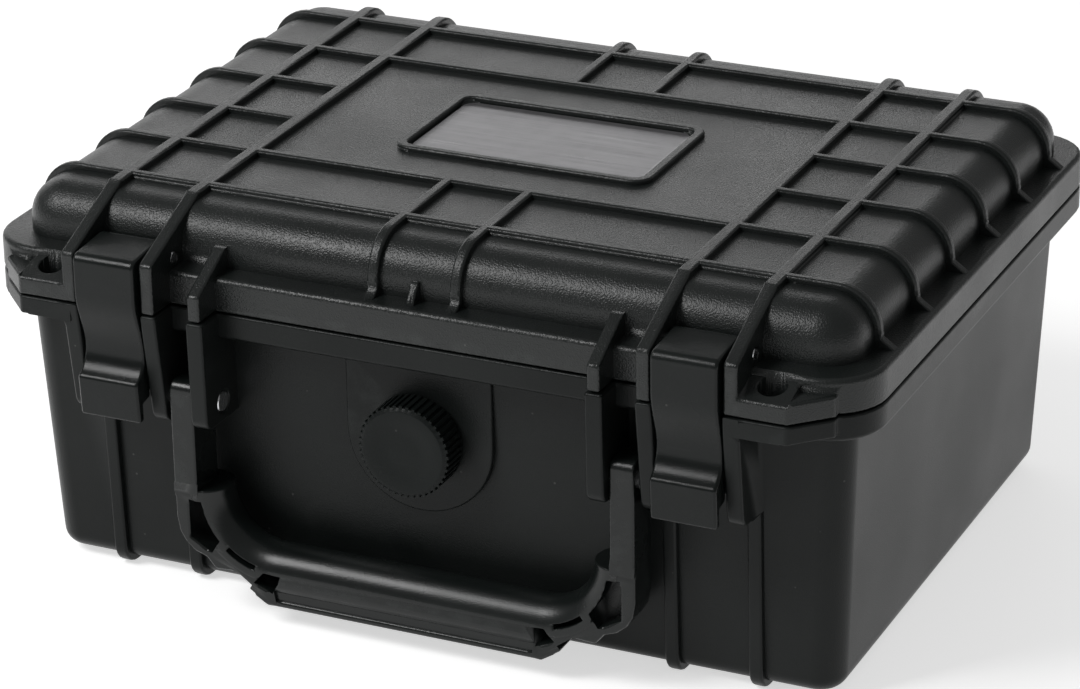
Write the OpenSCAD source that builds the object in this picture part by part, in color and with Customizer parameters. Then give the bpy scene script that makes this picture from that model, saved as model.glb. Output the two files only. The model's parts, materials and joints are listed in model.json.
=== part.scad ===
/* [Case] */
// Width of the case across its two rims
rim_w = 210; // [190:1:280]
// Depth of the case across its two rims, without latches and hinges
rim_d = 154.2; // [140:1:220]
// Height of the base, from the floor to the parting line
base_h = 71.9; // [66:0.1:120]
// Height of the lid, from the parting line to the tops of its ribs
lid_h = 21.1; // [20:0.1:40]
// Plan corner radius of the rims
rim_r = 13; // [10:0.5:20]
// Wall thickness of both shells
wall = 2.6; // [2:0.1:3.2]
// How far the side walls stand back from the rims
side_inset = 5.8; // [5.5:0.1:7]
// How far the front and rear walls stand back from the rims
front_inset = 6.4; // [6:0.1:7]
// Plan corner radius of the base walls
body_r = 6.5; // [6:0.1:12]
// How much the base narrows on each side from rim to floor
draft = 2.8; // [1:0.1:5]
// Gap between the lid rim and the base rim
seam = 0.4; // [0.2:0.1:0.8]

/* [Rims and seal] */
// Height of the lid rim
lid_rim_h = 8; // [7:0.1:10]
// Height of the base rim
base_rim_h = 6.2; // [5:0.1:9]
// Rounding of the rim edges
rim_edge = 1.2; // [0.6:0.1:1.6]
// Width of the groove that holds the seal
groove_w = 2.6; // [2:0.1:3]
// Depth of the groove that holds the seal
groove_depth = 2.4; // [2:0.1:3.4]
// Distance from the rim edge to the middle of the groove
groove_inset = 5.6; // [5:0.1:6]
// Height of the tongue on the base rim
tongue_h = 0.8; // [0.5:0.1:1.2]

/* [Lid dome and ribs] */
// Radius of the rounded edge of the lid dome
dome_edge = 8.5; // [6:0.1:8.5]
// Plan corner radius of the lid dome
dome_r = 9; // [8.6:0.1:13]
// Height of the ribs above the surface that they stand on
rib_h = 1.5; // [0.8:0.1:2.2]
// Width of the ribs that run front to back
rib_w = 3.2; // [2:0.1:4]
// Width of the ribs that run side to side
cross_rib_w = 2.2; // [1.4:0.1:3.2]
// Distance of the inner latch ribs from the middle of the case
rib_inner_x = 58.66; // [56:0.01:70]
// Clear distance between the two ribs of a latch
rib_pair_gap = 16.3; // [14:0.1:22]
// Distance of the middle rib pair from the middle of the case
rib_middle_x = 9.84; // [6:0.01:16]
// Spacing of the ribs that run side to side
cross_rib_step = 22.4; // [20:0.1:30]

/* [Latches] */
// Distance that the fins stand out in front of the rims
fin_reach = 7.7; // [7:0.1:10]
// Height of the latch pin above the parting line
latch_pin_up = 10.1; // [9.5:0.1:11]
// Distance of the latch pin from the dome wall
latch_pin_out = 3.7; // [3.6:0.1:4.6]
// Diameter of the latch pin
latch_pin_d = 3; // [2.4:0.1:3.2]
// Thickness of the latch plate
latch_t = 2.4; // [1.8:0.1:2.8]
// Distance from the parting line down to the keeper bar
keeper_down = 18.9; // [17:0.1:21]
// Diameter of the keeper bar
keeper_d = 3.2; // [2.6:0.1:3.6]
// Distance from the parting line down to the bottom of the latch
latch_down = 25.7; // [25:0.1:28]
// Side gap between a latch and the base fins
latch_gap = 0.3; // [0.25:0.05:0.6]
// Height of the lid fins above the parting line
lid_fin_up = 12.2; // [11.8:0.1:13]
// Distance that the base fins reach below the parting line
base_fin_down = 27; // [25:0.1:28]

/* [Carrying handle] */
// Width of a handle arm
arm_w = 5.8; // [5:0.1:6.4]
// Side gap between a handle arm and the latch fin
arm_gap = 1.2; // [0.6:0.1:2]
// Height of the handle pivot above the floor
handle_pin_z = 50.4; // [48:0.1:54]
// Diameter of the handle pin
handle_pin_d = 5; // [3.5:0.1:5.4]
// Radius of the handle eye around its pin
eye_r = 5.6; // [5:0.1:5.8]
// Diameter of the handle grip
grip_d = 12.6; // [10:0.1:13]
// Height of the underside of the handle above the floor
handle_z = 5; // [4:0.1:7]
// Thickness of the lower handle plate
handle_plate_t = 1.6; // [1.4:0.1:2.4]
// Inside width of the handle
handle_inner_w = 88.4; // [87:0.1:89]
// Centre line radius of the bends between grip and arms
bend_r = 18.5; // [16:0.5:20]
// Width of the flat lower edge of the handle
handle_plate_w = 66.2; // [60:0.2:67]

/* [Padlock tabs] */
// Diameter of the padlock holes
padlock_d = 6; // [5:0.1:7]
// Distance of the padlock holes from the middle of the case
padlock_x = 85.3; // [85:0.1:86]
// Distance of the padlock holes behind the fronts of the fins
padlock_back = 5.8; // [5.4:0.1:6.4]

/* [Hinges] */
// Diameter of the hinge pins
hinge_pin_d = 3; // [2:0.1:3.4]
// Outer diameter of the hinge knuckles
knuckle_d = 6.8; // [6:0.1:7]
// Clear gap between a knuckle and the rims
knuckle_gap = 0.5; // [0.4:0.1:1]
// Length of the lid knuckle of each hinge
lid_knuckle_w = 12; // [8:0.1:13]
// Length of each base knuckle
base_knuckle_w = 6.2; // [4:0.1:8]

/* [Pressure valve] */
// Diameter of the valve knob
knob_d = 21.7; // [18:0.1:24]
// Height of the valve knob
knob_h = 7.9; // [6:0.1:9]
// Number of teeth round the knob
knob_teeth = 44; // [24:1:60]
// Depth of the teeth round the knob
tooth_depth = 0.55; // [0.3:0.05:0.8]
// Diameter of the valve stem
stem_d = 6; // [5:0.1:7]
// Outer diameter of the valve bush
bush_d = 10; // [9:0.1:11]
// Width of the pad behind the knob
pad_w = 35.2; // [32:0.1:40]
// Height of the knob axis above the floor
knob_z = 47.4; // [46:0.1:49]

/* [Inlays] */
// Thickness of the bottom foam sheet
foam_pad_h = 8; // [4:0.5:12]
// Thickness of the lid foam
lid_foam_h = 13; // [10:0.5:15]
// Size of one cube of the pluck foam
cube = 12; // [10:0.5:16]
// Cubes taken out across the tool pocket
pocket_cubes_x = 8; // [4:1:10]
// Cubes taken out from front to back of the tool pocket
pocket_cubes_y = 5; // [3:1:7]
// Width of the name plate
name_plate_w = 57; // [50:0.5:60]
// Depth of the name plate
name_plate_d = 32; // [28:0.5:34]
// Thickness of the name plate
name_plate_t = 0.8; // [0.5:0.1:1]

/* [Fits] */
// Radial clearance of every pin in its hole
pin_clear = 0.05; // [0.02:0.01:0.08]
// Clearance of a loose piece in its seat
seat_clear = 0.3; // [0.2:0.05:0.5]

/* [Hidden] */

$fn = 48;
left = -1;
right = 1;
sides = [left, right];

// heights
lid_bottom = base_h + seam / 2;
base_top = base_h - seam / 2;
lid_rim_top = base_h + lid_rim_h;
rib_top = base_h + lid_h;
dome_top = rib_top - rib_h;
dome_edge_z = dome_top - dome_edge;
base_rim_bottom = base_h - base_rim_h;
floor_low = rib_h;
floor_high = floor_low + wall;

// half widths and half depths
rim_x = rim_w / 2;
rim_y = rim_d / 2;
body_x = rim_x - side_inset;
body_y = rim_y - front_inset;
foot_x = body_x - draft;
foot_y = body_y - draft;
floor_edge = 4;

// ribs, fins and their front edges
rib_outer_x = rib_inner_x + rib_pair_gap + rib_w;
latch_x = (rib_inner_x + rib_outer_x) / 2;
fin_y = rim_y + fin_reach;
fin_top = base_h + lid_fin_up;
fin_bottom = base_h - base_fin_down;
base_fin_w = rib_w + 0.6;
hinge_x = latch_x;

// latch
latch_pin_y = body_y + latch_pin_out;
latch_pin_z = base_h + latch_pin_up;
latch_w = rib_pair_gap - (base_fin_w - rib_w) - 2 * latch_gap;
latch_barrel_r = latch_pin_out - 0.4;
latch_front = fin_y + 1.5;
latch_dip = fin_y - 1.6;
latch_step_top = base_h + 3.5;
latch_step_low = base_h - 10.5;
lip_front = fin_y + 2.1;
lip_top = base_h - 15.3;
latch_bottom = base_h - latch_down;
keeper_z = base_h - keeper_down;
keeper_y = rim_y + 2.4;
hook_y = keeper_y + keeper_d / 2 + 0.4;

// handle
handle_fin_w = 4.1;
handle_gap = 0.4;
arm_out_x = rib_inner_x - base_fin_w / 2 - arm_gap;
arm_x = arm_out_x - arm_w / 2;
handle_fin_x = arm_out_x - arm_w - handle_gap - handle_fin_w / 2;
handle_pin_y = rim_y - 0.8;
arm_front = handle_pin_y + 6.1;
arm_back = handle_pin_y - 4.2;
grip_r = grip_d / 2;
grip_y = arm_front - grip_r - 0.1;
handle_back = arm_back + 0.6;
grip_z = handle_z + handle_plate_t + grip_r - 1.2;
bend_x = handle_inner_w / 2 + grip_r - bend_r;
bend_z = grip_z + bend_r;
handle_fin_bottom = handle_pin_z - 4.6;

// hinges
hinge_y = rim_y + knuckle_gap + knuckle_d / 2;
hinge_z = base_h;
knuckle_gap_x = 0.4;
hinge_pin_len = lid_knuckle_w + 2 * base_knuckle_w + 2 * knuckle_gap_x;

// valve
pad_y = body_y + 0.5;
boss_y = body_y - wall - 2.4;
boss_d = 18;
nut_d = 16;
collar_h = 1;
clip_t = 0.8;
clip_slot_in = 1.4;
clip_slot_w = 1;
clip_slot_d = stem_d - 1.6;
o_ring_d = 1.6;
o_ring_gap = 0.02;
o_ring_slot = o_ring_d - 0.4;
o_ring_r = 7.4;
knob_back = pad_y + 0.5;
knob_face = knob_back + knob_h;
nut_h = 3;
stem_in = boss_y - nut_h - 3.4;

// padlock tabs
tab_in_x = rib_outer_x;
tab_out_x = padlock_x + 5.4;
tab_flank_x = tab_out_x + fin_reach;
tab_h = 4.2;
tab_front_z = base_h + 4.3;
tab_back_z = base_h + 7.3;

// inlays
foam_gap = 0.8;
foam_x = foot_x - wall - foam_gap;
foam_y = foot_y - wall - foam_gap;
foam_r = body_r - wall;
lid_foam_x = body_x - wall - foam_gap;
lid_foam_y = body_y - wall - foam_gap;
pluck_low = floor_high + foam_pad_h + 2 * seat_clear;
pluck_high = base_top - 1.5;
slit_w = 0.8;
slit_depth = 3;
pocket_w = pocket_cubes_x * cube;
pocket_d = pocket_cubes_y * cube;
pocket_low = pluck_low + 12;
frame_w = 2.4;
frame_gap = 0.5;
notch_d = 24;

// the origin lies in the middle between the latch lips and the hinge knuckles
front_reach = lip_front;
rear_reach = hinge_y + knuckle_d / 2;
shift_y = (front_reach - rear_reach) / 2;

// points on an arc round the point c, from angle a to angle b
function arc(c, r, a, b, n = 8) = [for (i = [0:n]) c + r * [cos(a + (b - a) * i / n), sin(a + (b - a) * i / n)]];

// points of a soft step from p to q, flat at both ends
function soft_step(p, q, n = 10) = [for (i = [0:n]) [p[0] + (q[0] - p[0]) * (1 - cos(180 * i / n)) / 2,
    p[1] + (q[1] - p[1]) * i / n]];

// half depth of the drafted base wall at height z
function wall_y(z) = foot_y + (body_y - foot_y) * (z - floor_low) / (base_h - floor_low);

module placed() {
    translate([0, shift_y, 0]) children();
}

// a plate across X, drawn as Y and Z
module across(x, w) {
    translate([x - w / 2, 0, 0]) rotate([90, 0, 90]) linear_extrude(w) children();
}

// a rod across X
module rod(x, y, z, r, len) {
    translate([x - len / 2, y, z]) rotate([0, 90, 0]) cylinder(r = r, h = len);
}

module rounded_rect(w, d, r) {
    square([w - 2 * r, d], center = true);
    square([w, d - 2 * r], center = true);
    for (sx = sides, sy = sides) translate([sx * (w / 2 - r), sy * (d / 2 - r)]) circle(r);
}

module rounded_plate(w, d, r, h) {
    linear_extrude(h) rounded_rect(w, d, r);
}

module rounded_ring(w, d, r, ring_w, h) {
    linear_extrude(h) difference() {
        rounded_rect(w, d, r);
        rounded_rect(w - 2 * ring_w, d - 2 * ring_w, r - ring_w);
    }
}

// a corner post of a slab whose top edge is rounded
module soft_post(r, h, edge) {
    cylinder(r = r, h = h - edge, $fn = 32);
    translate([0, 0, h - edge]) rotate_extrude($fn = 32) intersection() {
        translate([r - edge, 0]) circle(edge, $fn = 32);
        square([r, edge]);
    }
}

module soft_slab(w, d, r, h, edge) {
    hull() for (sx = sides, sy = sides) translate([sx * (w / 2 - r), sy * (d / 2 - r), 0]) soft_post(r, h, edge);
}

// a tub that narrows to a rounded bottom edge, from z = low to z = high
module tub(x, y, low, high, r, narrow, edge) {
    hull() {
        for (sx = sides, sy = sides) translate([sx * (x - r), sy * (y - r), high - 1]) cylinder(r = r, h = 1, $fn = 32);
        for (sx = sides, sy = sides) translate([sx * (x - narrow - r), sy * (y - narrow - r), low + edge])
            mirror([0, 0, 1]) soft_post(r, edge + 0.01, edge);
    }
}

// cross-section of a rib with rounded crests, standing on y = 0 and rooted below it
module rib_section(w, h, root) {
    crest = min(w, h) * 0.45;
    polygon(concat([[-w / 2, -root]], arc([-w / 2 + crest, h - crest], crest, 180, 90, 4),
        arc([w / 2 - crest, h - crest], crest, 90, 0, 4), [[w / 2, -root]]));
}

// a rib over the dome along X, from x0 to the right edge of the dome, at depth y
module cross_rib(y, x0) {
    root = 1;
    run = body_x - dome_edge - x0;
    translate([x0, y, dome_top]) rotate([90, 0, 90]) linear_extrude(run) rib_section(cross_rib_w, rib_h, root);
    translate([body_x - dome_edge, y, dome_edge_z]) rotate([90, 0, 0]) rotate_extrude(angle = 90)
        translate([dome_edge, 0]) rotate(-90) rib_section(cross_rib_w, rib_h, root);
    rib_foot_x(y);
}

module rib_foot_x(y) {
    foot_up = 2.2;
    foot_out = 3;
    translate([0, y + cross_rib_w / 2, 0]) rotate([90, 0, 0]) linear_extrude(cross_rib_w)
        polygon([[body_x - 1, lid_rim_top - 1], [body_x - 1, dome_edge_z], [body_x + rib_h, dome_edge_z],
            [body_x + rib_h, lid_rim_top + foot_up], [body_x + rib_h + foot_out, lid_rim_top],
            [body_x + rib_h + foot_out, lid_rim_top - 1]]);
}

// a rib over the dome along Y, from depth y0 to the edge that side dir names, ending on the rim
module long_rib(x, y0, dir, w) {
    mirror([0, dir > 0 ? 0 : 1, 0]) {
        translate([x, body_y - dome_edge, dome_top]) rotate([90, 0, 0])
            linear_extrude(body_y - dome_edge - y0) rib_section(w, rib_h, 1);
        translate([x, body_y - dome_edge, dome_edge_z]) rotate([90, 0, 90]) rotate_extrude(angle = 90)
            translate([dome_edge, 0]) rotate(-90) rib_section(w, rib_h, 1);
        across(x, w) polygon([[body_y - 1, lid_rim_top - 1], [body_y - 1, dome_edge_z], [body_y + rib_h, dome_edge_z],
            [body_y + rib_h, lid_rim_top + 1.6], [body_y + rib_h + 2.4, lid_rim_top],
            [body_y + rib_h + 2.4, lid_rim_top - 1]]);
    }
}

// fin of the lid that carries a latch pin
module lid_latch_fin(x) {
    corner = 1.2;
    across(x, rib_w) polygon(concat([[-body_y + dome_edge, lid_bottom], [-body_y + dome_edge, rib_top]],
        arc([-fin_y + corner, fin_top - corner], corner, 112, 180, 5), [[-fin_y, lid_bottom]]));
}

// fin of the lid beside a handle arm
module lid_handle_fin(x) {
    fin_w = 3;
    corner = 1;
    crest_z = base_h + 12.9;
    nose_z = base_h + 6.6;
    nose_y = fin_y - 0.3;
    across(x, fin_w) polygon(concat([[-body_y + 1, lid_bottom], [-body_y + 1, crest_z + 0.3], [-body_y - 1.2, crest_z]],
        arc([-nose_y + corner, nose_z - corner], corner, 118, 180, 5), [[-nose_y, lid_bottom]]));
}

module lid_tab(side) {
    across(side * (tab_in_x + tab_out_x) / 2, tab_out_x - tab_in_x)
        polygon([[-body_y - 1, lid_bottom], [-body_y - 1, tab_back_z], [-rim_y + 1.6, tab_back_z],
            [-fin_y, tab_front_z], [-fin_y, lid_bottom]]);
    translate([0, 0, lid_bottom]) linear_extrude(tab_front_z + 0.6 - lid_bottom) tab_flank(side);
}

module tab_flank(side) {
    polygon([[side * tab_out_x, -body_y - 1], [side * tab_out_x, -fin_y], [side * tab_flank_x, -rim_y],
        [side * tab_flank_x, -body_y - 1]]);
}

module padlock_holes(low, high) {
    for (side = sides) translate([side * padlock_x, -fin_y + padlock_back, low]) cylinder(d = padlock_d, h = high - low);
}

module knuckle(x, w, up) {
    half = knuckle_d / 2;
    rod(x, hinge_y, hinge_z, half, w);
    across(x, w) polygon([[rim_y - 2, hinge_z + up * seam / 2], [rim_y - 2, hinge_z + up * 5],
        [rim_y + knuckle_gap, hinge_z + up * 5], [hinge_y + half * 0.7, hinge_z + up * half * 0.7],
        [hinge_y, hinge_z + up * seam / 2]]);
}

module plate_frame() {
    outer_w = name_plate_w + 2 * (frame_gap + frame_w);
    outer_d = name_plate_d + 2 * (frame_gap + frame_w);
    translate([0, 0, dome_top - 0.5]) rounded_ring(outer_w, outer_d, 4.5, frame_w, rib_h + 0.2);
}

module lid_shell() {
    color([0.10, 0.10, 0.11]) placed() difference() {
        union() {
            difference() {
                union() {
                    translate([0, 0, lid_bottom]) soft_slab(rim_w, rim_d, rim_r, lid_rim_h - seam / 2, rim_edge);
                    translate([0, 0, lid_bottom]) soft_slab(2 * body_x, 2 * body_y, dome_r, dome_top - lid_bottom, dome_edge);
                    lid_ribs();
                    plate_frame();
                    for (side = sides) {
                        lid_latch_fin(side * rib_inner_x);
                        lid_latch_fin(side * rib_outer_x);
                        lid_handle_fin(side * handle_fin_x);
                        lid_tab(side);
                    }
                    front_stub();
                }
                lid_cavity();
            }
            for (side = sides) knuckle(side * hinge_x, lid_knuckle_w, 1);
        }
        seal_groove();
        padlock_holes(lid_bottom - 1, rib_top);
        for (side = sides) {
            rod(side * latch_x, -latch_pin_y, latch_pin_z, latch_pin_d / 2 + pin_clear, 2 * rib_pair_gap);
            rod(side * latch_x, -latch_pin_y, latch_pin_z, latch_barrel_r + 0.35, rib_pair_gap);
            rod(side * hinge_x, hinge_y, hinge_z, hinge_pin_d / 2 + pin_clear, lid_knuckle_w + 2);
        }
        translate([0, 0, dome_top - name_plate_t]) rounded_plate(name_plate_w + 2 * frame_gap,
            name_plate_d + 2 * frame_gap, 3.4, rib_h + 2);
    }
}

module lid_ribs() {
    for (row = [-2.5:1:2.5]) for (mirrored = [0, 1]) mirror([mirrored, 0, 0])
        cross_rib(row * cross_rib_step, abs(row) < 1 ? rib_inner_x : 0);
    for (side = sides) {
        for (x = [rib_inner_x, rib_outer_x]) {
            long_rib(side * x, -body_y + dome_edge, 1, rib_w);
        }
        long_rib(side * rib_middle_x, 1.5 * cross_rib_step, 1, rib_w * 0.8);
        long_rib(side * rib_middle_x, 1.5 * cross_rib_step, -1, rib_w * 0.8);
    }
}

// short rib at the middle of the front, between the dome and the rim
module front_stub() {
    across(0, 2) polygon([[-body_y + 1, lid_rim_top - 1], [-body_y + 1, lid_rim_top + 4.4],
        [-body_y - 0.9, lid_rim_top + 4.2], [-body_y - 3.8, lid_rim_top], [-body_y - 3.8, lid_rim_top - 1]]);
}

module lid_cavity() {
    inner_r = dome_r - wall;
    translate([0, 0, lid_bottom - 1]) soft_slab(2 * (body_x - wall), 2 * (body_y - wall), inner_r,
        dome_top - wall - lid_bottom + 1, dome_edge - wall);
}

module seal_groove() {
    out = groove_inset - groove_w / 2;
    translate([0, 0, lid_bottom - 1]) rounded_ring(rim_w - 2 * out, rim_d - 2 * out, rim_r - out, groove_w, groove_depth + 1);
}

module lid_seal() {
    gap = 0.1;
    out = groove_inset - groove_w / 2 + gap;
    seal_h = groove_depth - tongue_h - seat_clear;
    color([0.05, 0.05, 0.05]) placed() translate([0, 0, lid_bottom + groove_depth - seal_h])
        rounded_ring(rim_w - 2 * out, rim_d - 2 * out, rim_r - out, groove_w - 2 * gap, seal_h);
}

module name_plate() {
    color([0.25, 0.25, 0.27]) placed() translate([0, 0, dome_top - name_plate_t])
        rounded_plate(name_plate_w, name_plate_d, 3, name_plate_t);
}

module lid_foam() {
    color([0.16, 0.16, 0.17]) placed() translate([0, 0, dome_top - wall - seat_clear - lid_foam_h])
        soft_slab(2 * lid_foam_x, 2 * lid_foam_y, dome_r - wall, lid_foam_h, dome_edge - wall);
}

// drafted ribs of the base, front, underside and rear in one hoop
module base_hoop(x) {
    turn = floor_edge + rib_h;
    out = rib_h + 0.1;
    top_z = base_rim_bottom + 1;
    across(x, rib_w) polygon(concat([[-wall_y(top_z) - out, top_z]],
        arc([-foot_y - out + turn, turn], turn, 180, 270, 6), arc([foot_y + out - turn, turn], turn, 270, 360, 6),
        [[wall_y(top_z) + out, top_z]]));
}

// fin of the base beside a latch
module base_latch_fin(x) {
    corner = 3.4;
    low_y = fin_y - 3;
    across(x, base_fin_w) polygon(concat([[-body_y + 2, base_top], [-fin_y - 0.2, base_top]],
        arc([-low_y + corner, fin_bottom + corner], corner, 190, 270, 6), [[-body_y + 2, fin_bottom - 0.6]]));
}

// fin of the base beside a handle arm
module base_handle_fin(x) {
    corner = 3;
    across(x, handle_fin_w) polygon(concat([[-body_y + 2, base_top], [-fin_y + 0.1, base_top]],
        arc([-fin_y + 0.6 + corner, handle_fin_bottom + corner], corner, 182, 270, 6),
        [[-body_y + 2, handle_fin_bottom]]));
}

module valve_pad() {
    pad_t = 4;
    translate([0, -pad_y + pad_t, knob_z]) rotate([90, 0, 0]) cylinder(d = pad_w, h = pad_t, $fn = 96);
    translate([-pad_w / 2, -pad_y, knob_z]) cube([pad_w, pad_t, base_rim_bottom - knob_z + 1]);
}

module base_tab(side) {
    translate([0, 0, base_top - tab_h]) linear_extrude(tab_h) {
        tab_flank(side);
        polygon([[side * tab_in_x, -body_y - 1], [side * tab_in_x, -fin_y], [side * tab_out_x, -fin_y],
            [side * tab_out_x, -body_y - 1]]);
    }
}

module base_shell() {
    color([0.11, 0.11, 0.12]) placed() difference() {
        union() {
            difference() {
                union() {
                    tub(body_x, body_y, floor_low, base_top, body_r, draft, floor_edge);
                    translate([0, 0, base_top]) mirror([0, 0, 1]) soft_slab(rim_w, rim_d, rim_r, base_rim_h - seam / 2, rim_edge);
                    for (side = sides) {
                        base_hoop(side * rib_inner_x);
                        base_hoop(side * rib_outer_x);
                        base_latch_fin(side * rib_inner_x);
                        base_latch_fin(side * rib_outer_x);
                        base_handle_fin(side * handle_fin_x);
                        base_tab(side);
                    }
                    valve_pad();
                }
                base_cavity();
            }
            rim_tongue();
            translate([0, -boss_y, knob_z]) rotate([90, 0, 0]) cylinder(d = boss_d, h = body_y - wall / 2 - boss_y);
            for (side = sides) {
                rod(side * latch_x, -keeper_y, keeper_z, keeper_d / 2, rib_pair_gap + 2);
                for (end = sides) knuckle(side * hinge_x + end * (lid_knuckle_w + base_knuckle_w + 2 * knuckle_gap_x) / 2,
                    base_knuckle_w, -1);
            }
        }
        padlock_holes(0, base_h);
        rod(0, -handle_pin_y, handle_pin_z, handle_pin_d / 2 + pin_clear, 2 * (rib_inner_x + base_fin_w));
        for (side = sides)
            rod(side * hinge_x, hinge_y, hinge_z, hinge_pin_d / 2 + pin_clear, hinge_pin_len + 2);
        translate([0, -boss_y + 1, knob_z]) rotate([90, 0, 0]) cylinder(d = bush_d + 2 * pin_clear, h = 20);
    }
}

module base_cavity() {
    tub(body_x - wall, body_y - wall, floor_high, base_top + 1, body_r - wall, draft, floor_edge - 1.5);
}

module rim_tongue() {
    tongue_w = groove_w - 1;
    out = groove_inset - tongue_w / 2;
    translate([0, 0, base_top - 0.5]) rounded_ring(rim_w - 2 * out, rim_d - 2 * out, rim_r - out, tongue_w,
        tongue_h + seam + 0.5);
}

// outline of a latch, as Y and Z: the plate steps back below the parting line and flares out again to the lip
module latch_outline() {
    corner = 2;
    lip_r = 1.3;
    flare = 60;
    flare_r = (lip_front - latch_dip) / (1 - cos(flare)) - lip_r;
    lip_z = lip_top - 1.6;
    flare_z = lip_z + (flare_r + lip_r) * sin(flare);
    polygon(concat(
        [[-latch_pin_y, latch_pin_z + latch_barrel_r]],
        arc([-latch_front + corner, latch_pin_z + 0.5], corner, 95, 180, 6),
        soft_step([-latch_front, latch_step_top], [-latch_dip, latch_step_low]),
        arc([-latch_dip - flare_r, flare_z], flare_r, -6, 6 - flare, 8),
        arc([-lip_front + lip_r, lip_z], lip_r, 180 - flare, 180, 4),
        [[-lip_front + 0.6, latch_bottom], [-lip_front + 2.6, latch_bottom], [-lip_front + 2.6, latch_bottom + 4]],
        [[-hook_y, latch_bottom + 4.6], [-hook_y, lip_top - 1]],
        [[-latch_dip + latch_t, lip_top + 0.4]],
        soft_step([-latch_dip + latch_t, latch_step_low], [-latch_front + latch_t, latch_step_top]),
        arc([-latch_front + latch_t + 1, latch_pin_z - 1], 1, 180, 90, 4),
        [[-latch_pin_y, latch_pin_z]]));
}

// side web that stiffens a latch, behind its plate
module latch_web() {
    web_y = rim_y + 0.9;
    sink = 1;
    polygon(concat(
        [[-web_y, latch_pin_z + 1], [-latch_front + sink, latch_pin_z + 1]],
        soft_step([-latch_front + sink, latch_step_top], [-latch_dip + sink, latch_step_low]),
        [[-latch_dip + sink, base_h - 13], [-web_y - 2.4, base_h - 13], [-web_y, base_h - 4]]));
}

module latch(side) {
    web_t = 1.8;
    color([0.09, 0.09, 0.10]) placed() difference() {
        union() {
            across(side * latch_x, latch_w) latch_outline();
            rod(side * latch_x, -latch_pin_y, latch_pin_z, latch_barrel_r, latch_w);
            for (end = sides) across(side * latch_x + end * (latch_w - web_t) / 2, web_t) latch_web();
        }
        rod(side * latch_x, -latch_pin_y, latch_pin_z, latch_pin_d / 2 + pin_clear, latch_w + 2);
    }
}

module latch_pin(side) {
    color([0.75, 0.76, 0.78]) placed()
        rod(side * latch_x, -latch_pin_y, latch_pin_z, latch_pin_d / 2, rib_pair_gap + 2 * rib_w - 0.2);
}

module hinge_pin(side) {
    color([0.75, 0.76, 0.78]) placed()
        rod(side * hinge_x, hinge_y, hinge_z, hinge_pin_d / 2, hinge_pin_len - 0.4);
}

module handle_pin(side) {
    inner = handle_fin_x - handle_fin_w / 2 + 0.1;
    outer = rib_inner_x + base_fin_w / 2 - 0.1;
    color([0.75, 0.76, 0.78]) placed()
        rod(side * (inner + outer) / 2, -handle_pin_y, handle_pin_z, handle_pin_d / 2, outer - inner);
}

// one arm with its eye, as Y and Z
module arm_outline() {
    corner = 2.4;
    polygon(concat([[-handle_back, bend_z - 1], [-handle_back, handle_pin_z]],
        arc([-handle_pin_y, handle_pin_z], eye_r, 0, 90, 10),
        arc([-arm_front + corner, handle_pin_z + eye_r - corner], corner, 90, 180, 6),
        [[-arm_front, bend_z - 1]]));
}

// mirrors a list of points to the side that is asked for
function on_side(side, points) = [for (p = points) [side * p[0], p[1]]];

// web between an arm and the grip, as X and Z
module corner_web(side) {
    end_x = handle_plate_w / 2;
    polygon(on_side(side, concat([[end_x - 2, handle_z + 0.8], [end_x, handle_z + 0.8],
        [end_x + 3.8, handle_z + 4.2], [end_x + 7.5, handle_z + 6.9], [arm_out_x - 9.4, handle_z + 6.6], [arm_out_x - 7.2, handle_z + 9.2],
        [arm_out_x - 4.4, handle_z + 10.2], [arm_out_x - 2, handle_z + 12.2], [arm_out_x - 0.7, handle_z + 14.4],
        [arm_out_x, handle_z + 18], [arm_out_x, bend_z]], arc([bend_x, bend_z], bend_r, -1, -89, 8))));
}

// three hollows in the front of a corner web, between its inner band and its outer edge
module corner_hollows(side) {
    band = bend_r - 2.1;
    corner = [bend_x, bend_z];
    polygon(on_side(side, concat([[arm_out_x - 3.4, bend_z - 2.4]], arc(corner, band + 0.8, -9, -42, 4),
        [[arm_out_x - 8.7, handle_z + 10.5], [arm_out_x - 3.4, handle_z + 13.4]])));
    polygon(on_side(side, concat(arc(corner, band, -50, -75, 4), arc(corner, band + 1.2, -75, -50, 4))));
    polygon(on_side(side, [corner + (band + 1) * [cos(83), -sin(83)], corner + (band + 1.2) * [cos(97), -sin(97)],
        corner + (band + 5.6) * [cos(90), -sin(90)], corner + (band + 4.2) * [cos(77), -sin(77)]]));
}

// strip along the lower edge of the handle, with its ends bent up
module handle_plate() {
    end_x = handle_plate_w / 2;
    rise = 3.1;
    run = 4.9;
    top_z = handle_z + handle_plate_t;
    polygon([[-end_x, handle_z], [end_x, handle_z], [end_x + run, handle_z + rise], [end_x + run - 0.9, top_z + rise - 0.2],
        [end_x - 0.2, top_z], [-end_x + 0.2, top_z], [-end_x - run + 0.9, top_z + rise - 0.2],
        [-end_x - run, handle_z + rise]]);
}

// extrudes an X and Z outline from the depth front back to the depth back
module in_depth(front, back) {
    translate([0, -back, 0]) rotate([90, 0, 0]) linear_extrude(front - back) children();
}

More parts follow.
